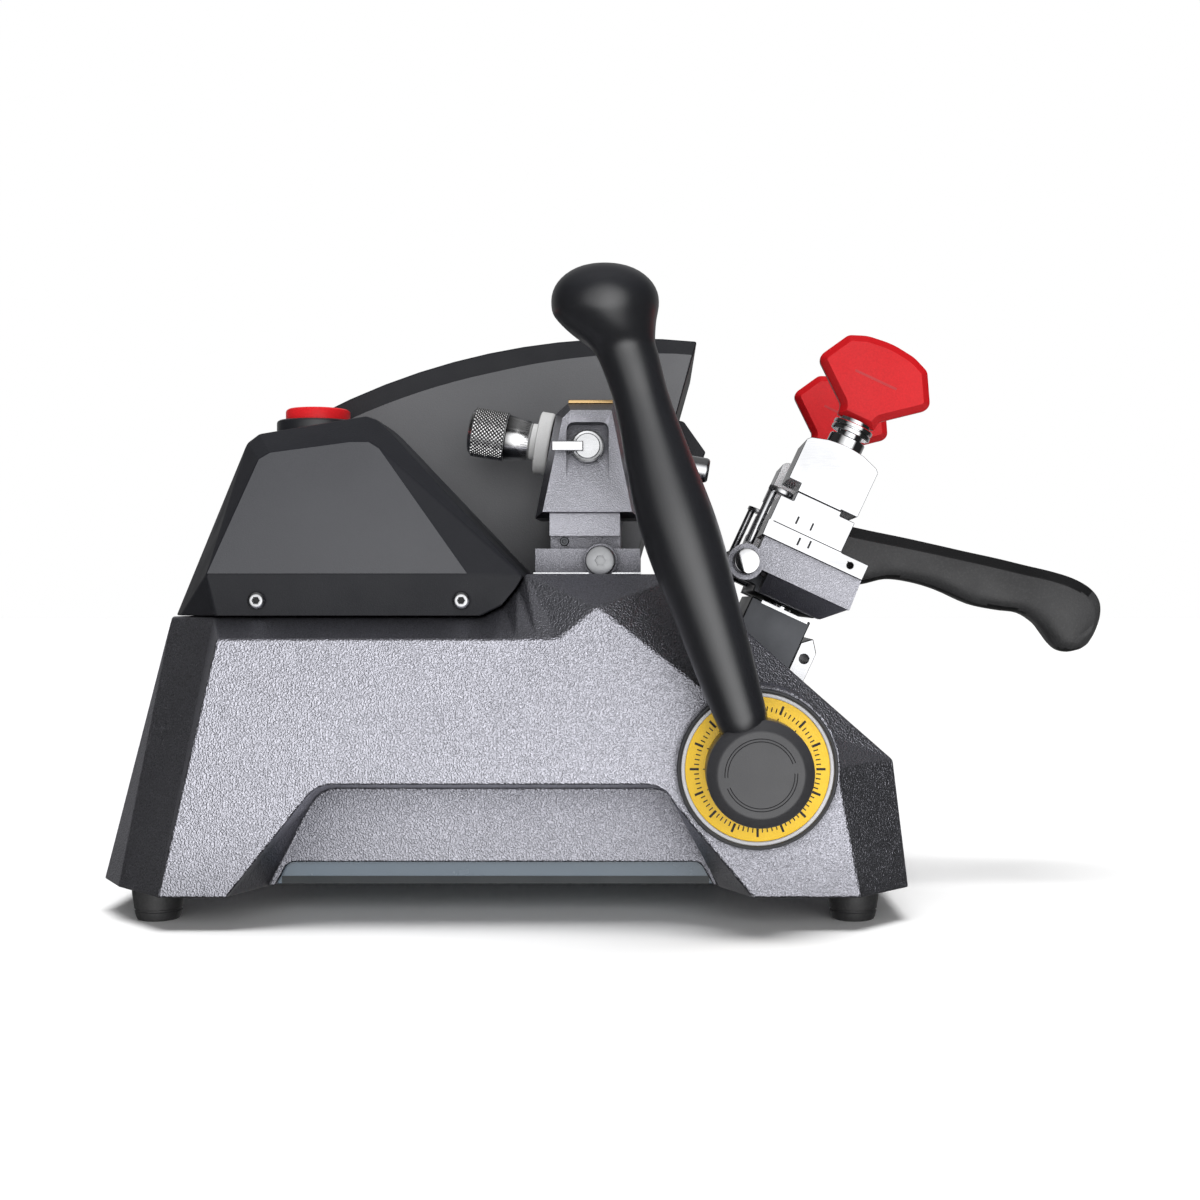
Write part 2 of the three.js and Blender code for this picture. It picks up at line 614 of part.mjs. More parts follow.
function pulley(radius, bore, y, n) {
  const [x0, x1] = PULLEY_X;
  const flange = radius + 3;
  const profile = [[x0, bore], [x0, flange], [x0 + 1.6, flange], [x0 + 1.6, radius], [x1 - 1.6, radius]];
  profile.push([x1 - 1.6, flange], [x1, flange], [x1, bore]);
  if (bore > 0) profile.push([x0, bore]);
  return solid(turnedX(profile, y, n, FINE));
}

// Belt loop around two round pulleys lying in the plane across the spindle axis.
function beltLoop(grow) {
  const centres = [
    [STATION_Y, 0, SPINDLE_PULLEY_RADIUS + grow],
    [MOTOR_Y, MOTOR_N, MOTOR_PULLEY_RADIUS + grow],
  ];
  const [dy, dn] = [centres[1][0] - centres[0][0], centres[1][1] - centres[0][1]];
  const heading = Math.atan2(dn, dy);
  const spread = Math.acos((centres[0][2] - centres[1][2]) / Math.hypot(dy, dn));
  const arc = ([y, n, radius], from, to) => {
    const steps = 14;
    return Array.from({ length: steps + 1 }, (_, i) => {
      const angle = from + ((to - from) * i) / steps;
      return new THREE.Vector2(y + radius * Math.cos(angle), n + radius * Math.sin(angle));
    });
  };
  return [
    ...arc(centres[0], heading + spread, heading - spread + 2 * Math.PI),
    ...arc(centres[1], heading - spread, heading + spread),
  ];
}

function driveBelt() {
  const shape = new THREE.Shape(beltLoop(GAP + BELT_THICKNESS));
  shape.holes.push(new THREE.Path(beltLoop(GAP)));
  const depth = BELT_X[1] - BELT_X[0];
  // Shape axes become Y and the frame normal; the extrusion runs along the spindle.
  return solid(new THREE.ExtrudeGeometry(shape, { depth, bevelEnabled: false })
    .rotateX(Math.PI / 2)
    .rotateZ(Math.PI / 2)
    .translate(BELT_X[0], 0, 0));
}

function motorBracket() {
  const plate = inAxis(box(-85.6, -81.6, MOTOR_Y - 36, MOTOR_Y + 36, -100, MOTOR_N + 36));
  const foot = box(-129, -106, MOTOR_Y - 36, MOTOR_Y + 36, REAR_DECK + 0.4, REAR_DECK + 5);
  return cut(
    join(solid(plate), foot),
    box(-200, 0, -60, 120, 100, REAR_DECK + 0.4),
    inAxis(alongX(8, MOTOR_Y, MOTOR_N, -90, -76, MEDIUM)),
  );
}

function addCutterHead() {
  piece('spindle_housing', spindleHousing(), OXIDE);
  piece('front_bearing', bearing(8, 20), STEEL, inAxis);
  piece('rear_bearing', bearing(-56, -44), STEEL, inAxis);
  const shaft = [[-80, 0], [-80, 6], [-59, 6], [-59, 10], [24.6, 10], [26, 11.5], [44, 11.5]];
  shaft.push([46, NOSE_RADIUS], [NOSE_END, NOSE_RADIUS], [NOSE_END, 3.2]);
  shaft.push([NOSE_END - 8, 3.2], [NOSE_END - 8, 0]);
  piece('cutter_spindle', solid(turnedX(shaft, STATION_Y, 0, MEDIUM)), STEEL, inAxis);
  piece('spindle_pulley', pulley(SPINDLE_PULLEY_RADIUS, 6.3, STATION_Y, 0), STEEL, inAxis);
  piece('drive_belt', driveBelt(), RUBBER, inAxis);
  const motorPulley = join(
    pulley(MOTOR_PULLEY_RADIUS, 0, MOTOR_Y, MOTOR_N),
    alongX(5, MOTOR_Y, MOTOR_N, -100, -78, MEDIUM),
  );
  piece('motor_pulley', motorPulley, STEEL, inAxis);
  const can = [
    [-134, 0], [-134, MOTOR_RADIUS - 3], [-131, MOTOR_RADIUS], [-86, MOTOR_RADIUS],
    [-86, 5.3], [-101, 5.3], [-101, 0],
  ];
  piece('drive_motor', solid(turnedX(can, MOTOR_Y, MOTOR_N, FINE)), STEEL, inAxis);
  piece('motor_bracket', motorBracket(), STEEL);
}

// ---- lever and dial --------------------------------------------------------------------------

function leverGrip() {
  const stations = [
    [16, 10.6], [24.8, 11.1], [33.8, 11.8], [56.3, 13.5], [78.8, 14.8], [96.7, 16.3], [114.7, 16.5],
    [123.7, 16], [146.4, 13.7], [160, 12.2], [169, 11.8], [175.5, 11.9], [187, 13.4], [196, 15.6],
    [203, 16.5],
  ];
  const profile = [[16, 0], ...stations, [203, 0]];
  const capCentre = { along: 212, radius: 23.3, half: 17.1 };
  const cap = new THREE.SphereGeometry(1, MEDIUM, COARSE)
    .rotateX(Math.PI / 2)
    .scale(capCentre.radius, capCentre.radius, capCentre.half)
    .rotateY(LEVER_LEAN)
    .translate(0, LEVER_Y, capCentre.along);
  const stem = join(
    cut(solid(turnedZ(profile, 0, LEVER_Y, MEDIUM)), alongY(23.5, 0, 0, -190, -140, FINE)),
    cap,
    alongZ(5, 0, LEVER_Y, 12, 40, COARSE),
  );
  return stem;
}

function leverHub() {
  const profile = [[-179, 0], [-179, 18.8], [-174.6, 23.2], [-153, 23.2], [-153, 0]];
  return cut(
    solid(turnedY(profile, 0, 0, FINE)),
    alongY(SHAFT_RADIUS + GAP, 0, 0, -168, -150, MEDIUM),
    alongZ(5.3, 0, LEVER_Y, 10, 30, COARSE),
  );
}

function bush(y0, y1) {
  const inner = SHAFT_RADIUS + GAP;
  const ring = [[y0, inner], [y0, BUSH_RADIUS], [y1, BUSH_RADIUS], [y1, inner], [y0, inner]];
  return solid(turnedY(ring, ...PIVOT, FINE));
}

function addLever() {
  const bezel = [
    [-150.3, 33.5], [-150.3, 35.4], [-153.6, 35.4], [-154.3, 34.7], [-154.3, 33.5], [-150.3, 33.5],
  ];
  piece('dial_bezel', solid(turnedY(bezel, ...PIVOT, FINE)), SATIN_BLACK);
  const dial = [[-150.3, 12], [-150.3, 33.2], [-152.4, 33.2], [-152.4, 12], [-150.3, 12]];
  piece('scale_dial', solid(turnedY(dial, ...PIVOT, FINE)), YELLOW);
  piece('shaft_bush_left', bush(-148, -128), BRASS);
  piece('shaft_bush_right', bush(120, 141), BRASS);
  piece('swing_shaft', solid(alongY(SHAFT_RADIUS, ...PIVOT, -167.5, 140.5, MEDIUM)), STEEL);
  piece('lever_hub', leverHub(), SATIN_BLACK, inLever);
  piece('lever_grip', leverGrip(), SATIN_BLACK, inLever);
}

// ---- swing post and table --------------------------------------------------------------------

function swingPost() {
  const outline = [[-18, -16], [16, -16], [16, 18], [3, 30], [3, POST_TOP], [-29, POST_TOP], [-29, 16]];
  const bore = alongY(SHAFT_RADIUS + GAP, 0, 0, -60, 60, MEDIUM);
  let body = cut(solid(prism(outline, -POST_HALF, POST_HALF)), bore);
  [-1, 1].forEach((side) => {
    body = cut(body, alongZ(COLUMN.radius + GAP, COLUMN.x, side * COLUMN.y, 24, 80, MEDIUM));
  });
  return body;
}

function postFrontPlate() {
  const outline = [[3.3, 33], [12.3, 33], [12.3, 58], [7.8, 64], [3.3, 60]];
  return cut(solid(prism(outline, -48, 48)), alongY(2.4, 7.8, 53, -49, 49, COARSE));
}

function liftCarriage() {
  const block = [[-30, 73], [3, 73], [12.8, 82], [-30, 82]];
  const ear = [[-44, 76], [-29, 76], [-29, 80], [-33, 92], [-44, 92.5], [-48.6, 88], [-48.6, 80]];
  let body = solid(prism(block, -POST_HALF, POST_HALF));
  [[-50, -32], [32, 50]].forEach(([y0, y1]) => {
    body = join(body, prism(ear, y0, y1));
  });
  return cut(body, alongY(RAIL.radius + GAP, RAIL.x, RAIL.z, -60, 60, MEDIUM));
}

function tableEnd(side) {
  const points = [[-29, 83.4, TABLE_HALF], [12.8, 83.4, TABLE_HALF]];
  [88, 74.2].forEach((y) => {
    points.push([-29, 73, y], [3, 73, y], [12.8, 82.4, y], [12.7, 84, y], [-29, 84, y]);
  });
  return new ConvexGeometry(points.map(([x, y, z]) => new THREE.Vector3(x, side * z, y)));
}

function tableCasting() {
  const outline = [[-38, 82.4], [12.8, 82.4], [12, TABLE_TOP], [-38, TABLE_TOP]];
  let body = solid(prism(outline, -TABLE_HALF, TABLE_HALF));
  body = cut(body, box(-60, -27, -73, 73, 78, 102));
  [-1, 1].forEach((side) => {
    body = join(body, tableEnd(side));
  });
  [[-TABLE_HALF, -80], [80, TABLE_HALF]].forEach(([y0, y1]) => {
    body = join(body, alongY(8.6, RAIL.x, RAIL.z, y0, y1, MEDIUM));
  });
  return cut(body, alongY(RAIL.radius + GAP, RAIL.x, RAIL.z, -120, 120, MEDIUM));
}

function frontHandle() {
  const outline = [
    [77.3, 165], [86, 185.4], [92, 187], [105.1, 183.6], [114.3, 181.8], [145.4, 175.2], [179.4, 167.4],
    [207.7, 160.4], [221.8, 156.1], [229, 151.4], [232.6, 144.6], [233.1, 138.6], [230.2, 129.2],
    [224.6, 122.1], [216.1, 119.6], [209.1, 123.5], [200.6, 133.5], [190.6, 139.9], [176.5, 141.6],
    [162.4, 145.2], [144, 153.3], [128.4, 157], [119, 157.4], [108, 154.4], [97.3, 155.9],
  ];
  return solid(softPrism(outline, -12, 12, 5, 4, 2));
}

function clampBody(y) {
  const outline = [
    [-39.6, 97.8], [12, 97.8], [12, 105.2], [-1.9, 105.2], [-2.4, 105.8], [-2.4, 120.6], [-10.2, 120.6],
    [-10.2, 122.7], [-32.8, 122.7], [-32.8, 118], [-39.4, 118], [-39.4, 105.8], [-39.9, 105.2],
  ];
  return cut(
    solid(prism(outline, y - CLAMP_HALF, y + CLAMP_HALF)),
    alongZ(4.3, SCREW_X, y, 99.6, 125, COARSE),
    alongY(1.6, 4, 101.6, y - CLAMP_HALF - 1, y + CLAMP_HALF + 1, COARSE),
  );
}

function clampJaw(y) {
  const outline = [
    [-39.4, 127], [-33, 127], [-33, 123], [-2.4, 123], [-2.4, 146.4], [-4, 148], [-12, 150.8],
    [-21, 151.9], [-30, 150.9], [-37.8, 148.6], [-39.4, 147],
  ];
  return cut(
    solid(prism(outline, y - CLAMP_HALF, y + CLAMP_HALF)),
    alongZ(4.3, SCREW_X, y, 115, 155, COARSE),
    box(-11, 0, y - CLAMP_HALF - 1, y + CLAMP_HALF + 1, 122, 123.6),
  );
}

function wingScrew(y) {
  const half = [[9.5, 166.9], [10.2, 171.9], [30, 187.8], [21, 203.8], [12.5, 207.3]];
  const mirrored = [...half].reverse().map(([w, z]) => [-w, z]);
  const corners = [...half, [0, 208.8], ...mirrored].map(([w, z]) => [w + SCREW_X, z]);
  const outline = rounded(corners, [0, 4, 4.5, 5, 20, 40, 20, 5, 4.5, 4, 0], 3);
  const stack = [
    [103, 0], [103, 4], [152.2, 4], [152.2, 9], [153, 9.9], [157.6, 9.9], [158.4, 9], [158.4, 7],
    [160.6, 6.6], [160.6, 8.8], [161.6, 9.8], [164.4, 9.8], [165.2, 9], [165.2, 9.6], [166.6, 9.6],
    [167.4, 8], [172, 4.4], [172, 0],
  ];
  return join(
    solid(turnedZ(stack, SCREW_X, y, MEDIUM)),
    softPrism(outline, y - 4.5, y + 4.5, 2.2, 3, 1),
  );
}

function keyStop(y) {
  return join(
    solid(alongZ(2, -43.2, y, 91.8, 119.5, COARSE)),
    alongZ(6.2, -39.6, y, 118.8, 121.3, MEDIUM),
  );
}

function addTable() {
  piece('swing_post', swingPost(), OXIDE, inSwing);
  piece('post_front_plate', postFrontPlate(), STEEL, inSwing);
  piece('lift_carriage', liftCarriage(), OXIDE, inSwing);
  const rail = alongY(RAIL.radius, RAIL.x, RAIL.z, -RAIL.half, RAIL.half, MEDIUM);
  piece('guide_shaft', solid(rail), CHROME, inSwing);
  piece('table_casting', tableCasting(), PAINT, inSwing);
  piece('front_handle', frontHandle(), RUBBER);
  Object.entries({ left: -1, right: 1 }).forEach(([side, sign]) => {
    const column = alongZ(COLUMN.radius, COLUMN.x, sign * COLUMN.y, 26, 72.7, MEDIUM);
    piece(`lift_column_${side}`, solid(column), CHROME, inSwing);
    const y = sign * STATION_Y;
    piece(`clamp_body_${side}`, clampBody(y), STEEL, inSwing);
    piece(`clamp_jaw_${side}`, clampJaw(y), STEEL, inSwing);
    piece(`wing_screw_${side}`, wingScrew(y), RED, inSwing);
    piece(`key_stop_${side}`, keyStop(y + sign * 16), STEEL, inSwing);
  });
}

addBase();
addCovers();
addTracerHead();
addMicrometer();
addCutterHead();
addLever();
addTable();

export default root;
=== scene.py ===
"""Looks for the key duplicating machine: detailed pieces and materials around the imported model."""

import math

import bmesh
import bpy
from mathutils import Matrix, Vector


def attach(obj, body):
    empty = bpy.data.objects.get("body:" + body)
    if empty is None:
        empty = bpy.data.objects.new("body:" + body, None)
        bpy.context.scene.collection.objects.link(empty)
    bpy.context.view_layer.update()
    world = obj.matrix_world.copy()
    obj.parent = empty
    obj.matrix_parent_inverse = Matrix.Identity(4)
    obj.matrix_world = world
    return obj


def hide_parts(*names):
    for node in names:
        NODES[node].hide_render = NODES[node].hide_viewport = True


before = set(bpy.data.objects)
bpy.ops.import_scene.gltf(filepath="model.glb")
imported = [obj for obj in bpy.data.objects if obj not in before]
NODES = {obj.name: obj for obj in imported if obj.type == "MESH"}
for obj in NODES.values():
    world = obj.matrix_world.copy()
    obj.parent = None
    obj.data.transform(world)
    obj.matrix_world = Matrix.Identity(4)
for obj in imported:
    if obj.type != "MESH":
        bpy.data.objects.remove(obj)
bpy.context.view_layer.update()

# ---- where things are, in millimetres -------------------------------------------------------

SHIFT = (12.95, 20.5, 0.0)
PIVOT = (45.0, 72.0)
AXIS = (-31.6, 218.3)
TABLE_LEAN = math.radians(25)
LEVER_LEAN = math.radians(18.25)
AXIS_DIP = math.radians(9.5)
LEVER_Y = -168.0
STATION_Y = 75.0
SCREW_X = -20.5
TAU = 2 * math.pi


def tilted(angle, x0, z0, y0=0.0):
    """Maps local points to design points: turned about Y by angle, then moved."""
    c, s = math.cos(angle), math.sin(angle)

    def place(p):
        return (x0 + p[0] * c + p[2] * s, y0 + p[1], z0 - p[0] * s + p[2] * c)

    return place


in_world = tilted(0, 0, 0)
in_swing = tilted(TABLE_LEAN, *PIVOT)
in_lever = tilted(-LEVER_LEAN, *PIVOT)
in_axis = tilted(AXIS_DIP, *AXIS)


def metres(p):
    return Vector([(p[i] + SHIFT[i]) / 1000 for i in range(3)])


# ---- camera ---------------------------------------------------------------------------------

PHOTO_WIDTH = 1200
FOCAL_PX = 1700
PRINCIPAL_X = 655

camera = bpy.data.objects.new("camera", bpy.data.cameras.new("camera"))
bpy.context.scene.collection.objects.link(camera)
camera.data.sensor_width = 36
camera.data.lens = 36 * FOCAL_PX / PHOTO_WIDTH
camera.data.shift_x = -(PRINCIPAL_X - PHOTO_WIDTH / 2) / PHOTO_WIDTH
camera.location = metres((0, -898, 146.2))
camera.rotation_euler = (math.radians(90), 0, 0)
camera.data.clip_end = 30
bpy.context.scene.camera = camera

# ---- materials ------------------------------------------------------------------------------


class Graph:
    """A small helper for building a material's nodes."""

    def __init__(self, name):
        self.material = bpy.data.materials.new(name)
        self.material.use_nodes = True
        self.tree = self.material.node_tree
        self.shader = self.tree.nodes["Principled BSDF"]
        self.point = self.node("ShaderNodeTexCoord").outputs["Object"]

    def node(self, kind, **values):
        node = self.tree.nodes.new(kind)
        for key, value in values.items():
            setattr(node, key, value)
        return node

    def link(self, source, target):
        self.tree.links.new(source, target)

    def noise(self, scale, detail=3.0, stretch=(1, 1, 1)):
        mapping = self.node("ShaderNodeMapping")
        mapping.inputs["Scale"].default_value = stretch
        self.link(self.point, mapping.inputs["Vector"])
        noise = self.node("ShaderNodeTexNoise")
        noise.inputs["Scale"].default_value = scale
        noise.inputs["Detail"].default_value = detail
        self.link(mapping.outputs[0], noise.inputs["Vector"])
        return noise.outputs["Fac"]

    def cells(self, scale, smoothness=0.6):
        cells = self.node("ShaderNodeTexVoronoi", feature="SMOOTH_F1")
        cells.inputs["Scale"].default_value = scale
        cells.inputs["Smoothness"].default_value = smoothness
        self.link(self.point, cells.inputs["Vector"])
        return cells.outputs["Distance"]

    def spread(self, value, low, high, from_low=0.3, from_high=0.7):
        remap = self.node("ShaderNodeMapRange")
        remap.inputs["From Min"].default_value = from_low
        remap.inputs["From Max"].default_value = from_high
        remap.inputs["To Min"].default_value = low
        remap.inputs["To Max"].default_value = high
        self.link(value, remap.inputs["Value"])
        return remap.outputs["Result"]

    def mix(self, factor, a, b, blend="MIX"):
        mix = self.node("ShaderNodeMix", data_type="RGBA", blend_type=blend)
        for socket, value in ((mix.inputs["Factor"], factor), (mix.inputs["A"], a), (mix.inputs["B"], b)):
            if isinstance(value, (int, float)):
                socket.default_value = value
            elif isinstance(value, tuple):
                socket.default_value = (*value, 1)
            else:
                self.link(value, socket)
        return mix.outputs["Result"]

    def add(self, a, b, weight):
        total = self.node("ShaderNodeMath", operation="MULTIPLY_ADD")
        self.link(b, total.inputs[0])
        total.inputs[1].default_value = weight
        self.link(a, total.inputs[2])
        return total.outputs[0]

    def bump(self, height, strength, distance):
        bump = self.node("ShaderNodeBump")
        bump.inputs["Strength"].default_value = strength
        bump.inputs["Distance"].default_value = distance
        self.link(height, bump.inputs["Height"])
        self.link(bump.outputs[0], self.shader.inputs["Normal"])

    def painted_corner_shade(self, reach=0.05):
        """Painted shade mask: 1 in the open, falling towards 0 in corners and recesses."""
        occlusion = self.node("ShaderNodeAmbientOcclusion", samples=8)
        occlusion.inputs["Distance"].default_value = reach
        return occlusion.outputs["AO"]

    # Pointiness mask: 1 on sharp convex edges, 0 towards hollows; drives painted edge highlights mixed with
    # wear, and painted shade in knurl valleys.
    def edges(self, low=0.52, high=0.62):
        return self.spread(self.node("ShaderNodeNewGeometry").outputs["Pointiness"], 0, 1, low, high)


def shade(colour, factor):
    return tuple(min(1.0, c * factor) for c in colour)


def powder_coat(name, colour, grain=1150, relief=0.00038):
    g = Graph(name)
    peel = g.spread(g.noise(grain, 1.5), 0, 1, 0.35, 0.65)
    fine = g.noise(2400, 2)
    cloud = g.noise(9, 3)
    base = g.mix(g.spread(cloud, 0, 1), shade(colour, 0.94), shade(colour, 1.05))
    fleck = g.spread(g.noise(1700, 1), 0, 1, 0.58, 0.70)
    base = g.mix(fleck, base, shade(colour, 1.35))
    # Painted shade: the low half of the orange-peel relief darkened to 0.6 of the colour.
    base = g.mix(g.spread(peel, 0.45, 0, 0.0, 0.5), base, shade(colour, 0.6))
    # Convex edges lightened: partly edge wear, partly a painted highlight.
    base = g.mix(g.edges(), base, shade(colour, 1.3))
    # Painted shade: corners and recesses darkened towards 0.38 of the colour by ambient occlusion.
    corner_shaded_colour = g.mix(1.0, base, (0.38, 0.38, 0.38), "MULTIPLY")
    base = g.mix(g.spread(g.painted_corner_shade(), 1, 0, 0.35, 0.95), base, corner_shaded_colour)
    g.link(base, g.shader.inputs["Base Color"])
    g.link(g.spread(fine, 0.28, 0.42), g.shader.inputs["Roughness"])
    g.shader.inputs["Metallic"].default_value = 1.0
    g.bump(g.add(peel, fine, 0.3), 0.6, relief)
    return g.material


def moulded(name, colour, rough=(0.38, 0.5), grain=2400, depth=0.00012, edge=1.5, coat=0.0, shine=0.5):
    g = Graph(name)
    base = g.mix(g.spread(g.noise(14, 4), 0, 1), shade(colour, 0.88), shade(colour, 1.12))
    base = g.mix(g.spread(g.noise(grain, 2), 0, 0.35), base, shade(colour, 1.4))
    # Sharp edges scaled by edge: above 1 partly wear and partly a painted highlight, below 1 a painted
    # shade.
    base = g.mix(g.edges(0.53, 0.66), base, shade(colour, edge))
    g.link(base, g.shader.inputs["Base Color"])
    g.link(g.spread(g.noise(60, 5), *rough), g.shader.inputs["Roughness"])
    g.shader.inputs["Specular IOR Level"].default_value = shine
    g.shader.inputs["Coat Weight"].default_value = coat
    g.shader.inputs["Coat Roughness"].default_value = 0.2
    g.bump(g.add(g.cells(grain * 0.6), g.noise(grain, 2), 0.5), 0.35, depth)
    return g.material


def machined(name, colour, rough=(0.18, 0.32), stretch=(1, 1, 40), depth=0.00003, scale=180, valley_shade=None):
    g = Graph(name)
    lines = g.noise(scale, 4, stretch)
    smudge = g.noise(35, 5)
    base = g.mix(g.spread(lines, 0, 1), shade(colour, 0.86), shade(colour, 1.06))
    base = g.mix(g.spread(smudge, 0, 0.4, 0.5, 0.8), base, shade(colour, 0.72))
    # Convex edges lightened: partly edge wear, partly a painted highlight.
    base = g.mix(g.edges(0.53, 0.64), base, shade(colour, 1.25))
    # Painted shade: knurl valleys darkened to 0.07 of the colour.
    if valley_shade:
        base = g.mix(g.edges(*valley_shade), shade(colour, 0.07), base)
    g.link(base, g.shader.inputs["Base Color"])
    g.link(g.spread(g.add(smudge, lines, 0.4), rough[0], rough[1], 0.4, 1.0), g.shader.inputs["Roughness"])
    g.shader.inputs["Metallic"].default_value = 1.0
    g.bump(lines, 0.3, depth)
    return g.material


def rubber(name, colour):
    g = Graph(name)
    base = g.mix(g.spread(g.noise(40, 5), 0, 1), shade(colour, 0.8), shade(colour, 1.3))
    base = g.mix(g.spread(g.noise(900, 2), 0, 0.3, 0.5, 0.75), base, shade(colour, 2.2))
    g.link(base, g.shader.inputs["Base Color"])
    g.link(g.spread(g.noise(80, 4), 0.42, 0.62), g.shader.inputs["Roughness"])
    g.bump(g.add(g.cells(900), g.noise(1800, 2), 0.5), 0.4, 0.0002)
    return g.material


M = {
    "paint": powder_coat("powder_coat", (0.62, 0.62, 0.69)),
    "fine_paint": powder_coat("fine_powder_coat", (0.44, 0.44, 0.485), grain=1700, relief=0.00018),
    "cover": moulded("cover_plastic", (0.0145, 0.015, 0.018), shine=0.25),
    "panel": moulded("panel_plastic", (0.060, 0.061, 0.066), rough=(0.3, 0.42), shine=0.25),
    "hood_panel": moulded("hood_panel_plastic", (0.098, 0.099, 0.104), rough=(0.34, 0.46), shine=0.3),
    "satin": moulded("satin_black", (0.013, 0.0135, 0.016), rough=(0.28, 0.36), grain=3200, depth=0.00004,
                     shine=1.0),
    "hub": moulded("hub_face", (0.034, 0.034, 0.037), rough=(0.3, 0.4), grain=3200, depth=0.00006,
                   shine=0.7),
    # Dark ink for marks and lines, and the painted shade on the screw socket floors.
    "groove": moulded("ink_and_socket_shade", (0.008, 0.008, 0.009), rough=(0.5, 0.6)),
    "red": moulded("red_plastic", (0.55, 0.014, 0.018), rough=(0.28, 0.4), grain=1500, depth=0.00008,
                   edge=0.8, shine=0.2),
    # Darker red for the wings' side faces: painted shade on the rim.
    "red_shaded_rim": moulded("red_plastic_shaded_rim", (0.40, 0.007, 0.010), rough=(0.3, 0.42), grain=1500,
                       depth=0.00008, edge=0.8, shine=0.2),
    "dark_red": moulded("dark_red_plastic", (0.34, 0.012, 0.016), rough=(0.35, 0.5)),
    "yellow": moulded("dial_yellow", (0.92, 0.55, 0.016), rough=(0.3, 0.42), edge=1.0, coat=0.2),
    "white": moulded("pale_ring", (0.60, 0.60, 0.62), rough=(0.3, 0.4), edge=1.0),
    "rubber": rubber("black_rubber", (0.030, 0.030, 0.031)),
    # Near-black rubber for the handle's upward and downward faces: painted shade.
    "painted_shade_rubber": rubber("shaded_rubber", (0.006, 0.006, 0.0065)),
    "steel": machined("ground_steel", (0.62, 0.625, 0.64)),
    # Knurled steel with its valleys painted dark as shade.
    "knurl": machined("knurled_steel", (0.92, 0.92, 0.93), rough=(0.16, 0.26), stretch=(1, 1, 1), scale=400,
                      valley_shade=(0.47, 0.502)),
    "chrome": machined("hard_chrome", (0.80, 0.80, 0.82), rough=(0.05, 0.14), stretch=(1, 30, 1)),
    "flange": moulded("satin_nickel", (0.50, 0.50, 0.50), rough=(0.34, 0.5), grain=2600, depth=0.00004),
    "oxide": machined("black_oxide", (0.085, 0.088, 0.095), rough=(0.3, 0.46), stretch=(1, 20, 1)),
    "alloy": machined("cast_alloy", (0.55, 0.56, 0.58), rough=(0.35, 0.5), stretch=(1, 1, 1)),
    "bolt": machined("bolt_grey", (0.34, 0.345, 0.355), rough=(0.3, 0.45), stretch=(1, 1, 1)),
    "bronze": machined("bronze", (0.62, 0.42, 0.20), rough=(0.22, 0.36), stretch=(1, 20, 1)),
    "tray": moulded("tray_enamel", (0.075, 0.10, 0.125), rough=(0.16, 0.28), depth=0.00003, coat=0.4),
    # Near-black for a painted shadow strip under the tray.
    "tray_shadow_paint": moulded("tray_painted_shadow", (0.006, 0.009, 0.011), rough=(0.3, 0.4), depth=0.00003),
    "lens": moulded("lens_plastic", (0.78, 0.80, 0.82), rough=(0.25, 0.35), edge=1.0),
}

# ---- mesh helpers ---------------------------------------------------------------------------


def piece(name, verts, faces, material, body, slot, smooth_angle=35, place=in_world, replaces=()):
    """A new visual piece from design points, riding on a body."""
    mesh = bpy.data.meshes.new(name)
    mesh.from_pydata([metres(place(v)) for v in verts], [], faces)
    bm = bmesh.new()
    bm.from_mesh(mesh)
    bmesh.ops.remove_doubles(bm, verts=bm.verts, dist=1e-7)
    bmesh.ops.recalc_face_normals(bm, faces=bm.faces)
    limit = math.radians(smooth_angle)
    for face in bm.faces:
        face.smooth = True
    for edge in bm.edges:
        if len(edge.link_faces) == 2 and edge.calc_face_angle(0) > limit:
            edge.smooth = False
    bm.to_mesh(mesh)
    bm.free()
    obj = bpy.data.objects.new(name, mesh)
    bpy.context.scene.collection.objects.link(obj)
    mesh.materials.append(M[material])
    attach(obj, body)
    if replaces:
        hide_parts(*replaces)
    return obj


def skin(loops, capped=True):
    """Vertices and faces through closed loops of equal length; single points close to a pole."""
    verts, faces, rows = [], [], []
    for loop in loops:
        rows.append(list(range(len(verts), len(verts) + len(loop))))
        verts.extend(loop)
    for a, b in zip(rows, rows[1:]):
        count = max(len(a), len(b))
        for i in range(count):
            j = (i + 1) % count
            if len(a) == 1:
                faces.append((a[0], b[j], b[i]))
            elif len(b) == 1:
                faces.append((a[i], a[j], b[0]))
            else:
                faces.append((a[i], a[j], b[j], b[i]))
    if capped:
        for row in (rows[0], rows[-1]):
            if len(row) > 1:
                faces.append(tuple(row))
    return verts, faces


def ring(axis, centre, h, radius, segments):
    """Points around an axis at distance h; radius may be a function of the angle."""
    if not callable(radius) and radius <= 0:
        segments = 1
    points = []
    for i in range(segments):
        angle = TAU * i / segments
        r = radius(angle) if callable(radius) else radius
        c, s = r * math.cos(angle), r * math.sin(angle)
        offset = {"x": (h, c, s), "y": (c, h, s), "z": (c, s, h)}[axis]
        points.append(tuple(centre[k] + offset[k] for k in range(3)))
    return points


def turned(name, profile, axis, centre, material, body, slot, segments=72, closed=False, **options):
    """Turned piece: profile entries are (distance along axis, radius); closed makes a ring."""
    loops = [ring(axis, centre, h, r, segments) for h, r in profile]
    if closed:
        loops.append(loops[0])
    verts, faces = skin(loops, capped=not closed)
    return piece(name, verts, faces, material, body, slot, **options)


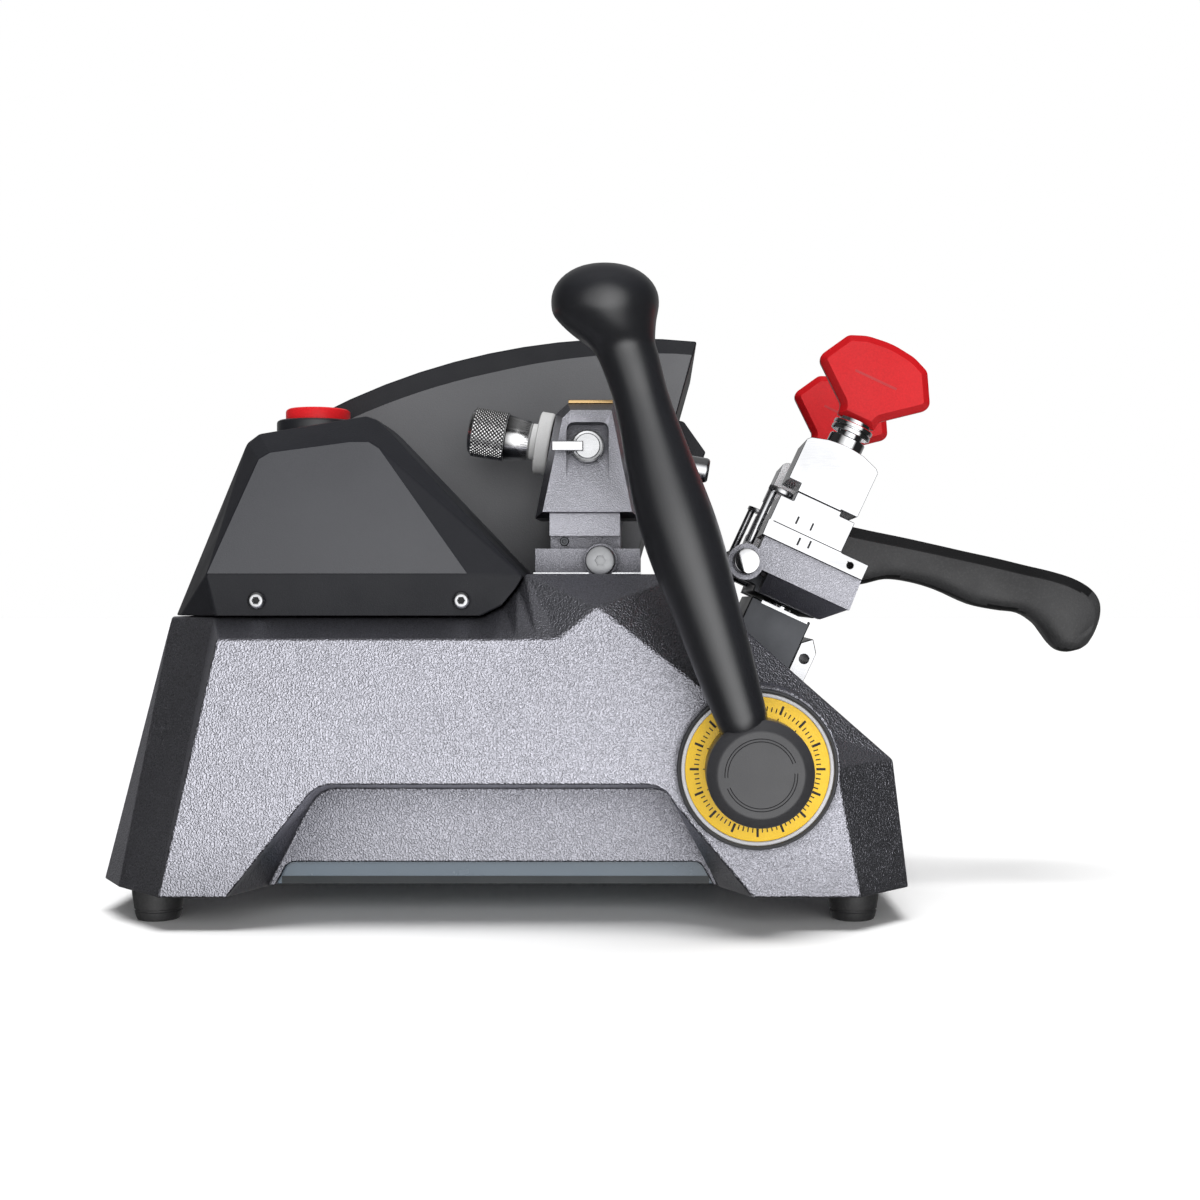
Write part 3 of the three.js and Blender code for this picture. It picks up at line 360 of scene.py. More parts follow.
def softened(profile, radius=0.4):
    """Breaks each inner corner of a turned profile with a small chamfer."""
    result = [profile[0]]
    for before, here, after in zip(profile, profile[1:], profile[2:]):
        here_v = Vector(here)
        back = Vector(before) - here_v
        ahead = Vector(after) - here_v
        cut = min(radius, back.length * 0.45, ahead.length * 0.45)
        if back.length < 1e-6 or ahead.length < 1e-6 or back.angle(ahead) > math.radians(160):
            result.append(here)
            continue
        result.append(tuple(here_v + back.normalized() * cut))
        result.append(tuple(here_v + (back.normalized() + ahead.normalized()) * cut * 0.3))
        result.append(tuple(here_v + ahead.normalized() * cut))
    result.append(profile[-1])
    return result


def inset(outline, distance):
    """Closed outline moved inwards along its corner bisectors."""
    area = sum(a[0] * b[1] - b[0] * a[1] for a, b in zip(outline, outline[1:] + outline[:1]))
    side = math.copysign(distance, area)
    result = []
    for i, here in enumerate(outline):
        before, after = outline[i - 1], outline[(i + 1) % len(outline)]
        d1 = Vector((here[0] - before[0], here[1] - before[1])).normalized()
        d2 = Vector((after[0] - here[0], after[1] - here[1])).normalized()
        middle = (d1 + d2).normalized()
        reach = side / max(0.4, middle.dot(d1))
        result.append((here[0] - middle.y * reach, here[1] + middle.x * reach))
    return result


def rounded(corners, radii, distance=0.0, steps=6):
    """Closed outline with an arc at each corner, moved inwards by a distance."""
    moved = inset(corners, distance) if distance else corners
    result = []
    for i, here in enumerate(moved):
        here_v = Vector(here)
        back = (Vector(moved[i - 1]) - here_v).normalized()
        ahead = (Vector(moved[(i + 1) % len(moved)]) - here_v).normalized()
        area = sum(a[0] * b[1] - b[0] * a[1] for a, b in zip(moved, moved[1:] + moved[:1]))
        convex = (back.cross(ahead) < 0) == (area > 0)
        radius = max(0.05, radii[i] - distance if convex else radii[i] + distance)
        half = back.angle(ahead) / 2
        middle = (back + ahead).normalized()
        centre = here_v + middle * radius / math.sin(half)
        start = here_v + back * radius / math.tan(half) - centre
        end = here_v + ahead * radius / math.tan(half) - centre
        turn = start.angle_signed(end)
        for k in range(steps + 1):
            angle = -turn * k / steps
            c, s = math.cos(angle), math.sin(angle)
            result.append((centre.x + start.x * c - start.y * s, centre.y + start.x * s + start.y * c))
    return result


def pillow(outline, steps, centre_y=0.0):
    """Loops for a body whose outline shrinks towards both Y faces; steps are (y, inset)."""
    front = [[(x, centre_y - y, z) for x, z in inset(outline, d)] for y, d in steps]
    back = [[(x, centre_y + y, z) for x, z in inset(outline, d)] for y, d in reversed(steps)]
    return front + back


def boxes(corners, place=lambda p: p):
    """Vertices and faces of many small boxes given as (low, high)."""
    verts, faces = [], []
    quads = [(0, 1, 3, 2), (4, 6, 7, 5), (0, 4, 5, 1), (2, 3, 7, 6), (0, 2, 6, 4), (1, 5, 7, 3)]
    for low, high in corners:
        start = len(verts)
        for x in (low[0], high[0]):
            for y in (low[1], high[1]):
                for z in (low[2], high[2]):
                    verts.append(place((x, y, z)))
        faces.extend(tuple(start + k for k in quad) for quad in quads)
    return verts, faces


def round_about_y(p, angle, centre):
    c, s = math.cos(angle), math.sin(angle)
    return (centre[0] + p[0] * c + p[2] * s, p[1], centre[1] - p[0] * s + p[2] * c)


# ---- carried-over CAD nodes -----------------------------------------------------------------

FINISHES = {
    "base_casting": ("paint", 1.1), "tracer_head": ("fine_paint", 0.75),
    "table_casting": ("fine_paint", 0.5),
    "bottom_plate": ("tray", 0.5), "power_supply": ("alloy", 1.0),
    "rear_cover": ("cover", 1.0), "motor_hood": ("cover", 1.0), "lamp_housing": ("cover", 0.8),
    "lamp_lens": ("lens", 0.3), "inlet_module": ("satin", 0.2), "power_rocker": ("red", 0.2),
    "tracer_bracket": ("fine_paint", 0), "spindle_housing": ("oxide", 0.8), "swing_post": ("oxide", 0.8),
    "lift_carriage": ("oxide", 0.8), "head_cap_plate": ("bronze", 0.3), "head_set_screw": ("oxide", 0.15),
    "post_front_plate": ("steel", 0.5), "clamp_body_left": ("steel", 0.5),
    "clamp_body_right": ("steel", 0.5),
    "clamp_jaw_left": ("steel", 0.5), "clamp_jaw_right": ("steel", 0.5),
    "front_bearing": ("steel", 0.4), "rear_bearing": ("steel", 0.4), "spindle_pulley": ("alloy", 0.3),
    "motor_pulley": ("alloy", 0.3), "drive_motor": ("alloy", 0.8), "motor_bracket": ("alloy", 0.6),
    "drive_belt": ("rubber", 0.3), "shaft_bush_left": ("bronze", 0.3), "shaft_bush_right": ("bronze", 0.3),
    "swing_shaft": ("steel", 0.4), "lift_column_left": ("chrome", 0.3),
    "lift_column_right": ("chrome", 0.3),
}


LARGE_BEVEL = 0.75
CLAMPED_BEVEL = 0.8
LARGE_WELD = 0.0004
SMALL_WELD = 0.00001
FLAT_ANGLE = math.radians(1.0)
EDGE_ANGLE = math.radians(12)


def dress(node, material, bevel):
    """Finish of a CAD node: its material and, unless bevel is 0, softened edges in millimetres."""
    obj = NODES[node]
    obj.data.materials.clear()
    obj.data.materials.append(M[material])
    obj.data.polygons.foreach_set("use_smooth", [bevel > 0] * len(obj.data.polygons))
    if not bevel:
        return
    weld = obj.modifiers.new("weld", "WELD")
    weld.merge_threshold = LARGE_WELD if bevel >= LARGE_BEVEL else SMALL_WELD
    flat = obj.modifiers.new("flat", "DECIMATE")
    flat.decimate_type = "DISSOLVE"
    flat.angle_limit = FLAT_ANGLE
    edge = obj.modifiers.new("edge", "BEVEL")
    edge.width = bevel / 1000
    edge.segments = 3
    edge.limit_method = "ANGLE"
    edge.angle_limit = EDGE_ANGLE
    edge.use_clamp_overlap = bevel < CLAMPED_BEVEL
    edge.harden_normals = True
    edge.miter_outer = "MITER_ARC"
    normals = obj.modifiers.new("normals", "WEIGHTED_NORMAL")
    normals.keep_sharp = True
    normals.weight = 100


for node_name, (finish_name, bevel_mm) in FINISHES.items():
    dress(node_name, finish_name, bevel_mm)


# ---- base trim: feet, screws, panels, button ------------------------------------------------


def add_feet():
    profile = [(0.0, 0.0), (0.0, 8.6), (0.4, 9.4), (1.6, 10.0), (4, 10.6), (4.4, 10.2), (5.0, 10.2),
               (5.4, 10.8)]
    profile += [(12.5, 11.8), (14.2, 11.8), (14.7, 11.2), (14.7, 0.0)]
    for end, x in (("rear", -228), ("front", 91)):
        for side, sign in (("left", -1), ("right", 1)):
            node = f"foot_{end}_{side}"
            turned(f"{node}_pad", profile, "z", (x, sign * 117, 0), "rubber", "root", "black_rubber",
                   replaces=[node])


def add_tray_shadow():
    # A dark strip along the tray's lower edge: painted shadow standing in for the shaded underside.
    wall = 114.1
    strips = [((-172, sign * wall - 0.15, 15.5), (25, sign * wall + 0.15, 19.0)) for sign in (-1, 1)]
    verts, faces = boxes(strips)
    piece("tray_shadow_strip", verts, faces, "tray_shadow_paint", "root", "blue_grey_sheet")


def hexagon(radius):
    """Radius of a hexagon by angle, as across-corners size."""
    flat = radius * math.cos(math.pi / 6)
    return lambda angle: flat / math.cos((angle % (math.pi / 3)) - math.pi / 6)


def add_screws():
    for end, x in (("rear", -181.3), ("front", -88.1)):
        for side, sign in (("left", -1), ("right", 1)):
            node = f"cover_screw_{end}_{side}"
            profile = [(116.2, 0), (116.2, 2), (124.3, 2), (124.3, 3.8), (124.9, 4.1), (125.5, 4.0),
                       (126.2, 3.5)]
            profile += [(126.6, 2.9), (126.7, 2.5), (126.6, hexagon(1.9)), (124.7, hexagon(1.8)),
                        (124.7, 0)]
            profile = [(sign * h, r) for h, r in profile]
            turned(f"{node}_head", profile, "y", (x, 0, 146), "steel", "root", "bright_steel", 36,
                   replaces=[node])
            # A near-black hex disc on the socket floor: painted shade inside the screw's socket.
            socket = [(sign * 124.4, 0), (sign * 124.4, hexagon(1.75)), (sign * 124.8, hexagon(1.75)),
                      (sign * 124.8, 0)]
            turned(f"{node}_socket", socket, "y", (x, 0, 146), "groove", "root", "bright_steel", 36)


HOOD_BAND = ((-80, 10.0), (10, 7.0))
HOOD_ARC_X = -12
HOOD_ARC_Z = -64.6
HOOD_ARC_RADIUS = 343
HOOD_PANEL_X = (-188.6, 18.7)
HOOD_ARC_STEPS = 24


def hood_panel_outline():
    """The hood's face below a dark band that follows its curved top."""
    (wide_x, wide), (narrow_x, narrow) = HOOD_BAND

    def below_top(x):
        share = min(1.0, max(0.0, (x - wide_x) / (narrow_x - wide_x)))
        rise = math.sqrt(HOOD_ARC_RADIUS**2 - (x - HOOD_ARC_X) ** 2)
        return HOOD_ARC_Z + rise - wide - share * (narrow - wide)

    rear, front = HOOD_PANEL_X
    stations = [front + i / HOOD_ARC_STEPS * (rear - front) for i in range(HOOD_ARC_STEPS + 1)]
    arc = [(x, below_top(x)) for x in stations]
    return [(rear, 139.4), (-79.6, 139.4), (-70.5, 143.9), (-63.8, 151.9), (-59.8, 158.9),
            (-11.6, 158.9)] + arc


def add_panels():
    outline = [(-204.4, 158), (-183.9, 211.6), (-178.8, 214.8), (-142, 219.9), (-133.1, 219.9),
               (-128, 216.7), (-85.1, 158)]
    for side, sign in (("left", -1), ("right", 1)):
        lean = lambda z: 124 - (z - 158) * 0.267
        loops = [[(x, sign * (lean(z) + lift), z) for x, z in inset(outline, d)]
                 for lift, d in ((-0.4, 0.3), (0.1, 0.3), (0.22, 0.5))]
        piece(f"cover_panel_{side}", *skin(loops), "panel", "root", "cover_plastic")
        face = sign * (40 if sign < 0 else 115)
        loops = [[(x, face + sign * lift, z) for x, z in inset(hood_panel_outline(), d)]
                 for lift, d in ((-0.3, 0.2), (0.12, 0.2), (0.2, 0.35))]
        piece(f"hood_panel_{side}", *skin(loops), "hood_panel", "root", "cover_plastic")


def add_button():
    centre = (-166, -60, 0)
    cap = [(210, 0), (210, 6), (232.6, 6), (232.6, 15.2), (233, 15.6), (238.4, 15.6), (239.3, 15.2),
           (239.9, 14.2)]
    cap += [(240.1, 12.6), (239.9, 11.2), (239.6, 9.0), (239.45, 5.0), (239.4, 0)]
    turned("button_cap", cap, "z", centre, "red", "button", "red_plastic", 96, replaces=["stop_button"])
    collar = [(205, 6.4), (205, 19.9), (232.8, 19.9), (233.6, 19.6), (234.1, 18.8), (234.2, 17.6),
              (233.9, 16.3)]
    collar += [(233.4, 16.0), (225.5, 16), (225.5, 6.4)]
    turned("button_ring", collar, "z", centre, "satin", "root", "dark_plastic", 96, closed=True,
           replaces=["button_collar"])


# ---- lever and dial -------------------------------------------------------------------------


LEVER_NECK = [
    (-22.2, 244.4, 1.5, 252.2), (-24.2, 249.1, 0.6, 254.7), (-25.9, 252.4, 0.2, 256.2),
    (-28.2, 254.8, 0.1, 257.5), (-30.9, 256.8, 0.1, 258.7), (-33.5, 258.4, 0.1, 259.7),
    (-38.9, 262.9, 0.3, 263.3), (-42.1, 266.4, 0.6, 266.4), (-44.1, 268.9, 1.1, 268.9),
]
KNOB_CENTRE = (-21.4, LEVER_Y)
KNOB = [(272.3, 23.2), (276.3, 23.2), (280.3, 21.9), (283.8, 19.3), (286.8, 15.6), (288.9, 11.2),
        (290.0, 6.3), (290.4, 0)]


def add_lever():
    stations = [(16, 10.6), (24.8, 11.1), (33.8, 11.8), (45, 12.7), (56.3, 13.5), (67, 14.2), (78.8, 14.9),
                (88, 15.7), (96.7, 16.3), (106, 16.55), (114.7, 16.5), (123.7, 16.0), (135, 14.9),
                (146.4, 13.7), (157, 12.6), (166, 11.95), (172, 11.85), (178, 12.1)]
    segments = 72
    loops = []
    for h, r in stations:
        lean_in = 2.6 * min(1.0, max(0.0, (h - 130) / 50))
        loops.append([in_lever(p) for p in ring("z", (lean_in, LEVER_Y, 0), h, r, segments)])
    for x_left, z_left, x_right, z_right in LEVER_NECK:
        angle = -math.atan2(z_right - z_left, x_right - x_left)
        place = tilted(angle, (x_left + x_right) / 2, (z_left + z_right) / 2, LEVER_Y)
        radius = math.hypot(x_right - x_left, z_right - z_left) / 2
        loops.append([place(p) for p in ring("z", (0, 0, 0), 0, radius, segments)])
    for z, r in KNOB:
        loops.append(ring("z", (*KNOB_CENTRE, 0), z, r, segments))
    verts, faces = skin(loops)
    lever = piece("lever_handle", verts, faces, "satin", "swing", "dark_plastic", replaces=["lever_grip"])
    smooth = lever.modifiers.new("smooth", "SUBSURF")
    smooth.levels = smooth.render_levels = 1
    centre = (PIVOT[0], 0, PIVOT[1])
    hub = [(-153, 0), (-153, 22.7), (-153.6, 23.2), (-174.2, 23.2), (-175.2, 22.9), (-176.4, 21.8),
           (-178.4, 19.4), (-178.9, 18.7), (-179, 18.0), (-179, 0)]
    turned("hub_cap", hub, "y", centre, "hub", "swing", "dark_plastic", 96, replaces=["lever_hub"],
           smooth_angle=28)
    for index, (start, end) in enumerate(((20, 184), (201.5, 363))):
        for line, radius in enumerate((14.2, 15.4)):
            steps = 40
            loops = []
            for i in range(steps + 1):
                angle = math.radians(start + (end - start) * i / steps)
                c, s = math.cos(angle), math.sin(angle)
                section = ((radius - 0.32, -178.9), (radius + 0.32, -178.9), (radius, -179.14))
                loops.append([(PIVOT[0] + r * c, y, PIVOT[1] + r * s) for r, y in section])
            piece(f"hub_line_{index}_{line}", *skin(loops), "groove", "swing", "dark_plastic")


def add_dial():
    centre = (PIVOT[0], 0, PIVOT[1])
    bezel = [(-150.3, 33.5), (-150.3, 35.2), (-150.6, 35.4), (-153.5, 35.4), (-154.1, 35.0), (-154.3, 34.4),
             (-154.1, 33.8), (-153.6, 33.5)]
    turned("bezel_ring", bezel, "y", centre, "satin", "root", "dark_plastic", 96, closed=True,
           replaces=["dial_bezel"])
    dial = [(-150.3, 12), (-150.3, 31.8), (-152.3, 31.8), (-152.4, 31.6), (-152.4, 12)]
    turned("dial_plate", dial, "y", centre, "yellow", "root", "dial_yellow", 96, closed=True,
           replaces=["scale_dial"])
    pale = [(-150.3, 31.9), (-150.3, 33.7), (-152.8, 33.7), (-153.1, 33.4), (-153.1, 32.3), (-152.8, 31.9)]
    turned("dial_rim", pale, "y", centre, "white", "root", "dial_yellow", 96, closed=True)
    verts, faces = [], []

    def mark(angle, inner, outer, width):
        more, quads = boxes([((-width / 2, -152.47, inner), (width / 2, -152.38, outer))])
        start = len(verts)
        verts.extend(round_about_y(p, math.radians(angle), PIVOT) for p in more)
        faces.extend(tuple(start + k for k in quad) for quad in quads)

    for i in range(80):
        major = i % 5 == 0
        mark(i * 4.5, 25.8, 29.8 if major else 27.9, 1.05 if major else 0.5)
    for i in range(16):
        mark(i * 22.5, 22.4, 23.9, 0.5)
    piece("dial_marks", verts, faces, "groove", "root", "dial_yellow")


# ---- tracer head ----------------------------------------------------------------------------


def knurled(radius, depth, turns, pitch, h):
    """Radius of a diamond knurl at distance h, as a function of the angle."""
    def at(angle):
        twist = TAU * h / pitch
        ridge = abs(math.sin((turns * angle + twist) / 2)) * abs(math.sin((turns * angle - twist) / 2))
        return radius - depth * (1 - min(1.0, ridge * 1.5))
    return at


def add_micrometer():
    centre = (0, -STATION_Y, 0)
    ride = dict(place=in_axis)
    profile = [(-59.5, 0), (-59.4, 5.0), (-59.0, 8.2), (-58.4, 9.9), (-57.6, 11.0), (-57.0, 11.35)]
    steps = 80
    for i in range(steps + 1):
        h = -56.7 + i / steps * 15.8
        fade = min(1.0, i / 2, (steps - i) / 2)
        profile.append((h, knurled(11.9, 0.6 * fade, 38, 1.9, h)))
    profile += [(-40.7, 11.6), (-40.5, 11.0), (-40.3, 10.9), (-35, 10.15), (-29.6, 9.3), (-29.2, 9.1),
                (-29, 8.8), (-29, 6.3)]
    profile += [(-50.5, 6.3), (-50.5, 0)]
    turned("thimble_body", profile, "x", centre, "knurl", "thimble", "bright_steel", 240,
           replaces=["micrometer_thimble"], **ride)
    verts, faces = [], []
    for i in range(50):
        length = 3.2 if i % 5 == 0 else 1.9
        angle = TAU * i / 50
        more, quads = boxes([((-29.7 - length, -0.11, 9.0), (-29.7, 0.11, 9.75))])
        start = len(verts)
        for x, y, z in more:
            z = z - 0.2 if z < 9.5 else 9.42 + (-29.7 - x) * 0.145
            c, s = math.cos(angle), math.sin(angle)
            verts.append((x, -STATION_Y + y * c - z * s, y * s + z * c))
        faces.extend(tuple(start + k for k in quad) for quad in quads)
    piece("thimble_marks", verts, faces, "groove", "thimble", "bright_steel", **ride)
    sleeve = [(-50, 0), (-50, 6), (-28.7, 6), (-28.7, 8.4), (-28.4, 8.7), (-25.8, 8.7), (-25.7, 14.2),
              (-25.2, 15), (-24.6, 15)]
    sleeve += [(-20.2, 15), (-19.5, 14.8), (-19, 14.2), (-19, 0)]
    turned("barrel_flange", sleeve, "x", centre, "flange", "head", "bright_steel", 96,
           replaces=["micrometer_barrel"], **ride)
    nose = [(-17.4, 0), (-17.4, 6), (56.8, 6), (57.8, 5.6), (58.4, 4.8), (58.4, 3.3), (58, 3.1),
            (50.4, 3.1), (50.4, 0)]
    turned("tracer_nose", nose, "x", centre, "steel", "tracer", "bright_steel", 64,
           replaces=["tracer_spindle"], **ride)


def add_head_fasteners():
    bolt = [(-107, hexagon(2.6)), (-107.1, 5.9), (-106.9, 6.6), (-106.3, 7.0), (-102.9, 7.0), (-102.7, 6.8),
            (-102.7, 4), (-55, 4), (-55, 0)]
    bolt = [(-104, 0), (-104, hexagon(2.5))] + bolt
    turned("pivot_bolt_head", bolt, "y", (-25.5, 0, 164.6), "bolt", "root", "bright_steel", 48,
           replaces=["pivot_bolt"])
    centre = (AXIS[0], 0, AXIS[1])
    disc = [(-103.6, 0), (-103.6, 5.6), (-103.3, 6.0), (-103.5, 6.9), (-103.2, 7.5), (-102.6, 7.6),
            (-100.6, 7.6), (-100.4, 7.4), (-100.4, 3), (-82, 3), (-82, 0)]
    turned("lock_disc", disc, "y", centre, "steel", "lock", "black_steel", 64, replaces=["tracer_lock"])
    bar = [(-48.1, 215.7), (-48.1, 220.3), (-33.5, 220.3), (-33.5, 215.7)]
    loops = pillow(bar, [(1.5, 0.35), (1.1, 0.0)], -105.3)
    piece("lock_bar", *skin(loops), "steel", "lock", "black_steel")
    shim = [(-57, 158.5), (-57, 159.1), (-6.5, 159.1), (-6.5, 158.5)]
    piece("bracket_shim", *skin(pillow(shim, [(0.5, 0)], -101.2)), "steel", "root", "bright_steel")


def add_cutter_nose():
    nose = [(-80, 0), (-80, 6), (-59, 6), (-59, 10), (24.6, 10), (26, 11.2), (26.6, 11.5), (30, 11.5),
            (30.3, 11.0), (31, 11.0)]
    nose += [(31.3, 11.5), (43, 11.5), (44, 11.1), (46, 6.4), (46.6, 6), (57, 6), (58, 5.6), (58.4, 4.9),
             (58.4, 3.3), (58, 3.1), (50.4, 3.1), (50.4, 0)]
    turned("cutter_nose", nose, "x", (0, STATION_Y, 0), "steel", "spindle", "bright_steel", 64,
           replaces=["cutter_spindle"], place=in_axis)


# ---- table, clamps, handle ------------------------------------------------------------------


def add_rail():
    rail = softened([(-112, 0), (-112, 6), (112, 6), (112, 0)], 0.9)
    turned("rail_shaft", rail, "y", (-41, 0, 82.7), "chrome", "table", "chrome_steel", 64,
           replaces=["guide_shaft"], place=in_swing)


def add_key_stops():
    for side, sign in (("left", -1), ("right", 1)):
        y = sign * (STATION_Y + 16)
        post = softened([(91.8, 0), (91.8, 2), (119.2, 2), (119.2, 0)], 0.4)
        turned(f"stop_post_{side}", post, "z", (-43.2, y, 0), "steel", "table", "bright_steel", 32,
               place=in_swing, replaces=[f"key_stop_{side}"])
        disc = softened([(118.8, 0), (118.8, 6.2), (121.3, 6.2), (121.3, 0)], 0.5)
        turned(f"stop_disc_{side}", disc, "z", (-39.6, y, 0), "steel", "table", "bright_steel", 48,
               place=in_swing)


WING_HALF = [(9.5, 166.9, 0.5), (10.2, 171.9, 4), (30, 187.8, 4.5), (21, 203.8, 5), (12.5, 207.3, 20)]
WING_TOP = (0, 208.8, 40)
WING_STEPS = [(4.5, 3.3), (4.35, 3.0), (2.2, 0.25), (1.9, 0.0)]


def add_wings():
    mirrored = [(-w, u, r) for w, u, r in reversed(WING_HALF)]
    outline = WING_HALF + [WING_TOP] + mirrored
    corners = [(w + SCREW_X, u) for w, u, r in outline]
    radii = [r for w, u, r in outline]
    for side, sign in (("left", -1), ("right", 1)):
        body = f"wing_{side}"
        y = sign * STATION_Y
        near = [[(x, y - lift, z) for x, z in rounded(corners, radii, d)] for lift, d in WING_STEPS]
        far = [[(x, 2 * y - q, z) for x, q, z in loop] for loop in reversed(near)]
        wing = piece(f"wing_grip_{side}", *skin(near + far), "red", body, "red_plastic", place=in_swing,
                     replaces=[f"wing_screw_{side}"], smooth_angle=22)
        # The wing's side faces take the darker red: painted shade on the rim.
        wing.data.materials.append(M["red_shaded_rim"])
        for face in wing.data.polygons:
            if len(face.vertices) < 8:
                face.material_index = 1
        line = [(-11, 188.7), (11, 188.7), (11, 189.9), (-11, 189.9)]
        line = rounded([(SCREW_X + w, u) for w, u in line], [0.55] * 4, 0, 4)
        for face, direction in (("near", -1), ("far", 1)):
            loops = [[(x, y + direction * lift, z) for x, z in line] for lift in (4.3, 4.58)]
            piece(f"wing_line_{side}_{face}", *skin(loops), "dark_red", body, "red_plastic", place=in_swing)
        stack = [(103, 0), (103, 4), (151.6, 4), (151.6, 8.4), (152, 9.0), (157.9, 9.0), (158.4, 8.6),
                 (158.4, 6.4), (160.4, 6.4)]
        stack += [(160.4, 9.4), (160.8, 9.9), (162.4, 9.9), (162.7, 9.5), (162.7, 8.6), (163.3, 8.6),
                  (163.3, 9.5), (163.6, 9.9)]
        stack += [(165, 9.9), (165.4, 9.4), (165.4, 8.2), (167.3, 8.0), (167.4, 6), (167.4, 0)]
        turned(f"wing_stud_{side}", stack, "z", (SCREW_X, y, 0), "chrome", body, "chrome_steel", 64,
               place=in_swing)


HANDLE_TOP = [(79, 178), (86, 184.6), (95, 186.4), (105.1, 184.2), (114.3, 182.2), (130, 179),
              (145.4, 175.6), (162, 171.8), (179.4, 168), (195, 164.2), (207.7, 161.2), (219, 157.6),
              (227.8, 152.6), (232.8, 146.2), (233.6, 138.6), (231.2, 129.8), (227.5, 123.6)]
HANDLE_BOTTOM = [(77.5, 166), (83, 161.6), (91, 157.6), (99, 155.3), (108, 154.4), (121, 157.2),
                 (134, 155.8), (148, 151.7), (165, 144.2), (180, 141.0), (191.5, 139.4), (199.6, 134.2),
                 (203.8, 129), (207.6, 123.8), (211.5, 120.2), (216.4, 118.9), (222.5, 120.2)]
HANDLE_PAINTED_SHADE_ABOVE = 0.45
HANDLE_PAINTED_SHADE_BELOW = -0.8
HANDLE_HALF_WIDTH = [10.5, 11.8, 12, 12, 12, 12, 12, 12, 12, 12, 12, 12, 12, 11.8, 11.2, 9.8, 6.5]


def refined(rows, parts=4):
    """Rows of numbers with smoothly interpolated rows between them."""
    result = []
    for i in range(len(rows) - 1):
        a, b, c, d = (rows[min(max(k, 0), len(rows) - 1)] for k in (i - 1, i, i + 1, i + 2))
        for step in range(parts):
            t = step / parts
            result.append([
                q + 0.5 * t * (r - p + t * (2 * p - 5 * q + 4 * r - s + t * (3 * (q - r) + s - p)))
                for p, q, r, s in zip(a, b, c, d)
            ])
    return result + [list(rows[-1])]


def add_handle():
    loops = []
    sections = zip(HANDLE_TOP, HANDLE_BOTTOM, HANDLE_HALF_WIDTH)
    rows = [(*top, *bottom, half) for top, bottom, half in sections]
    for x_top, z_top, x_bottom, z_bottom, half in refined(rows):
        low, high = Vector((x_bottom, z_bottom)), Vector((x_top, z_top))
        height = (high - low).length
        cut = min(5.3, height * 0.28)
        curve = min(8.0, height * 0.38)
        side = [(height, 0), (height, half - cut), (height - 0.08 * cut, half - 0.85 * cut)]
        side += [(height - 0.92 * cut, half - 0.12 * cut), (height - 1.1 * cut, half), (curve, half)]
        for k in range(1, 7):
            angle = k * math.pi / 12
            side.append((curve * (1 - math.sin(angle)), half - curve * (1 - math.cos(angle))))
        side.append((0, 0))
        around = [(h, -y) for h, y in side] + [(h, y) for h, y in reversed(side[1:-1])]
        loops.append([])
        for h, y in around:
            point = low.lerp(high, h / height)
            loops[-1].append((point.x, y, point.y))
    verts, faces = skin(loops)
    grip = piece("handle_grip", verts, faces, "rubber", "table", "black_rubber", replaces=["front_handle"],
                 smooth_angle=40)
    # Upward and downward facing faces get the near-black rubber: painted shade on the top chamfer and
    # underside.
    grip.data.materials.append(M["painted_shade_rubber"])
    for face in grip.data.polygons:
        if face.normal.z > HANDLE_PAINTED_SHADE_ABOVE or face.normal.z < HANDLE_PAINTED_SHADE_BELOW:
            face.material_index = 1


CLAMP_MARKS = [(-27.4, 110.4), (-19.9, 110.4), (-22.6, 101.6), (-17.4, 102.4)]


def add_clamp_marks():
    corners = []
    for y in (-100.05, 100.05):
        corners += [((v - 0.45, y - 0.1, u - 1.9), (v + 0.45, y + 0.1, u + 1.9)) for v, u in CLAMP_MARKS]
        corners.append(((-37.5, y - 0.1, 105.3), (-0.8, y + 0.1, 105.75)))
    verts, faces = boxes(corners)
    piece("clamp_marks", verts, faces, "groove", "table", "bright_steel", place=in_swing)


def add_post_plate():
    verts, faces = boxes([((-23.5, -50.2, 69.3), (1.5, 50.2, 70.9))])
    piece("post_top_plate", verts, faces, "steel", "swing", "bright_steel", place=in_swing)


add_feet()
add_tray_shadow()
add_screws()
add_panels()
add_button()
add_lever()
add_dial()
add_micrometer()
add_head_fasteners()
add_cutter_nose()
add_rail()
add_key_stops()
add_wings()
add_handle()
add_clamp_marks()
add_post_plate()

# ---- floor and light ------------------------------------------------------------------------

FRONT_LEVEL = 2.1
HIGH_FRONT_SHARE = 0.5
BACK_LEVEL = 0.4
SIDE_LEVEL = 0.025
TOP_LEVEL = 0.2
OVERHEAD_LEVEL = 3.3
FRONT_FILL_LEVEL = 1.3


def add_floor():
    mesh = bpy.data.meshes.new("floor")
    size = 12.0
    corners = [(-size, -size, 0), (size, -size, 0), (size, size, 0), (-size, size, 0)]
    mesh.from_pydata(corners, [], [(0, 1, 2, 3)])
    floor = bpy.data.objects.new("floor", mesh)
    bpy.context.scene.collection.objects.link(floor)
    g = Graph("floor")
    tint = g.mix(g.spread(g.noise(3, 2), 0, 1), (0.90, 0.90, 0.90), (0.93, 0.93, 0.93))
    g.link(tint, g.shader.inputs["Base Color"])
    g.shader.inputs["Roughness"].default_value = 0.6
    mesh.materials.append(g.material)
    floor.visible_glossy = False


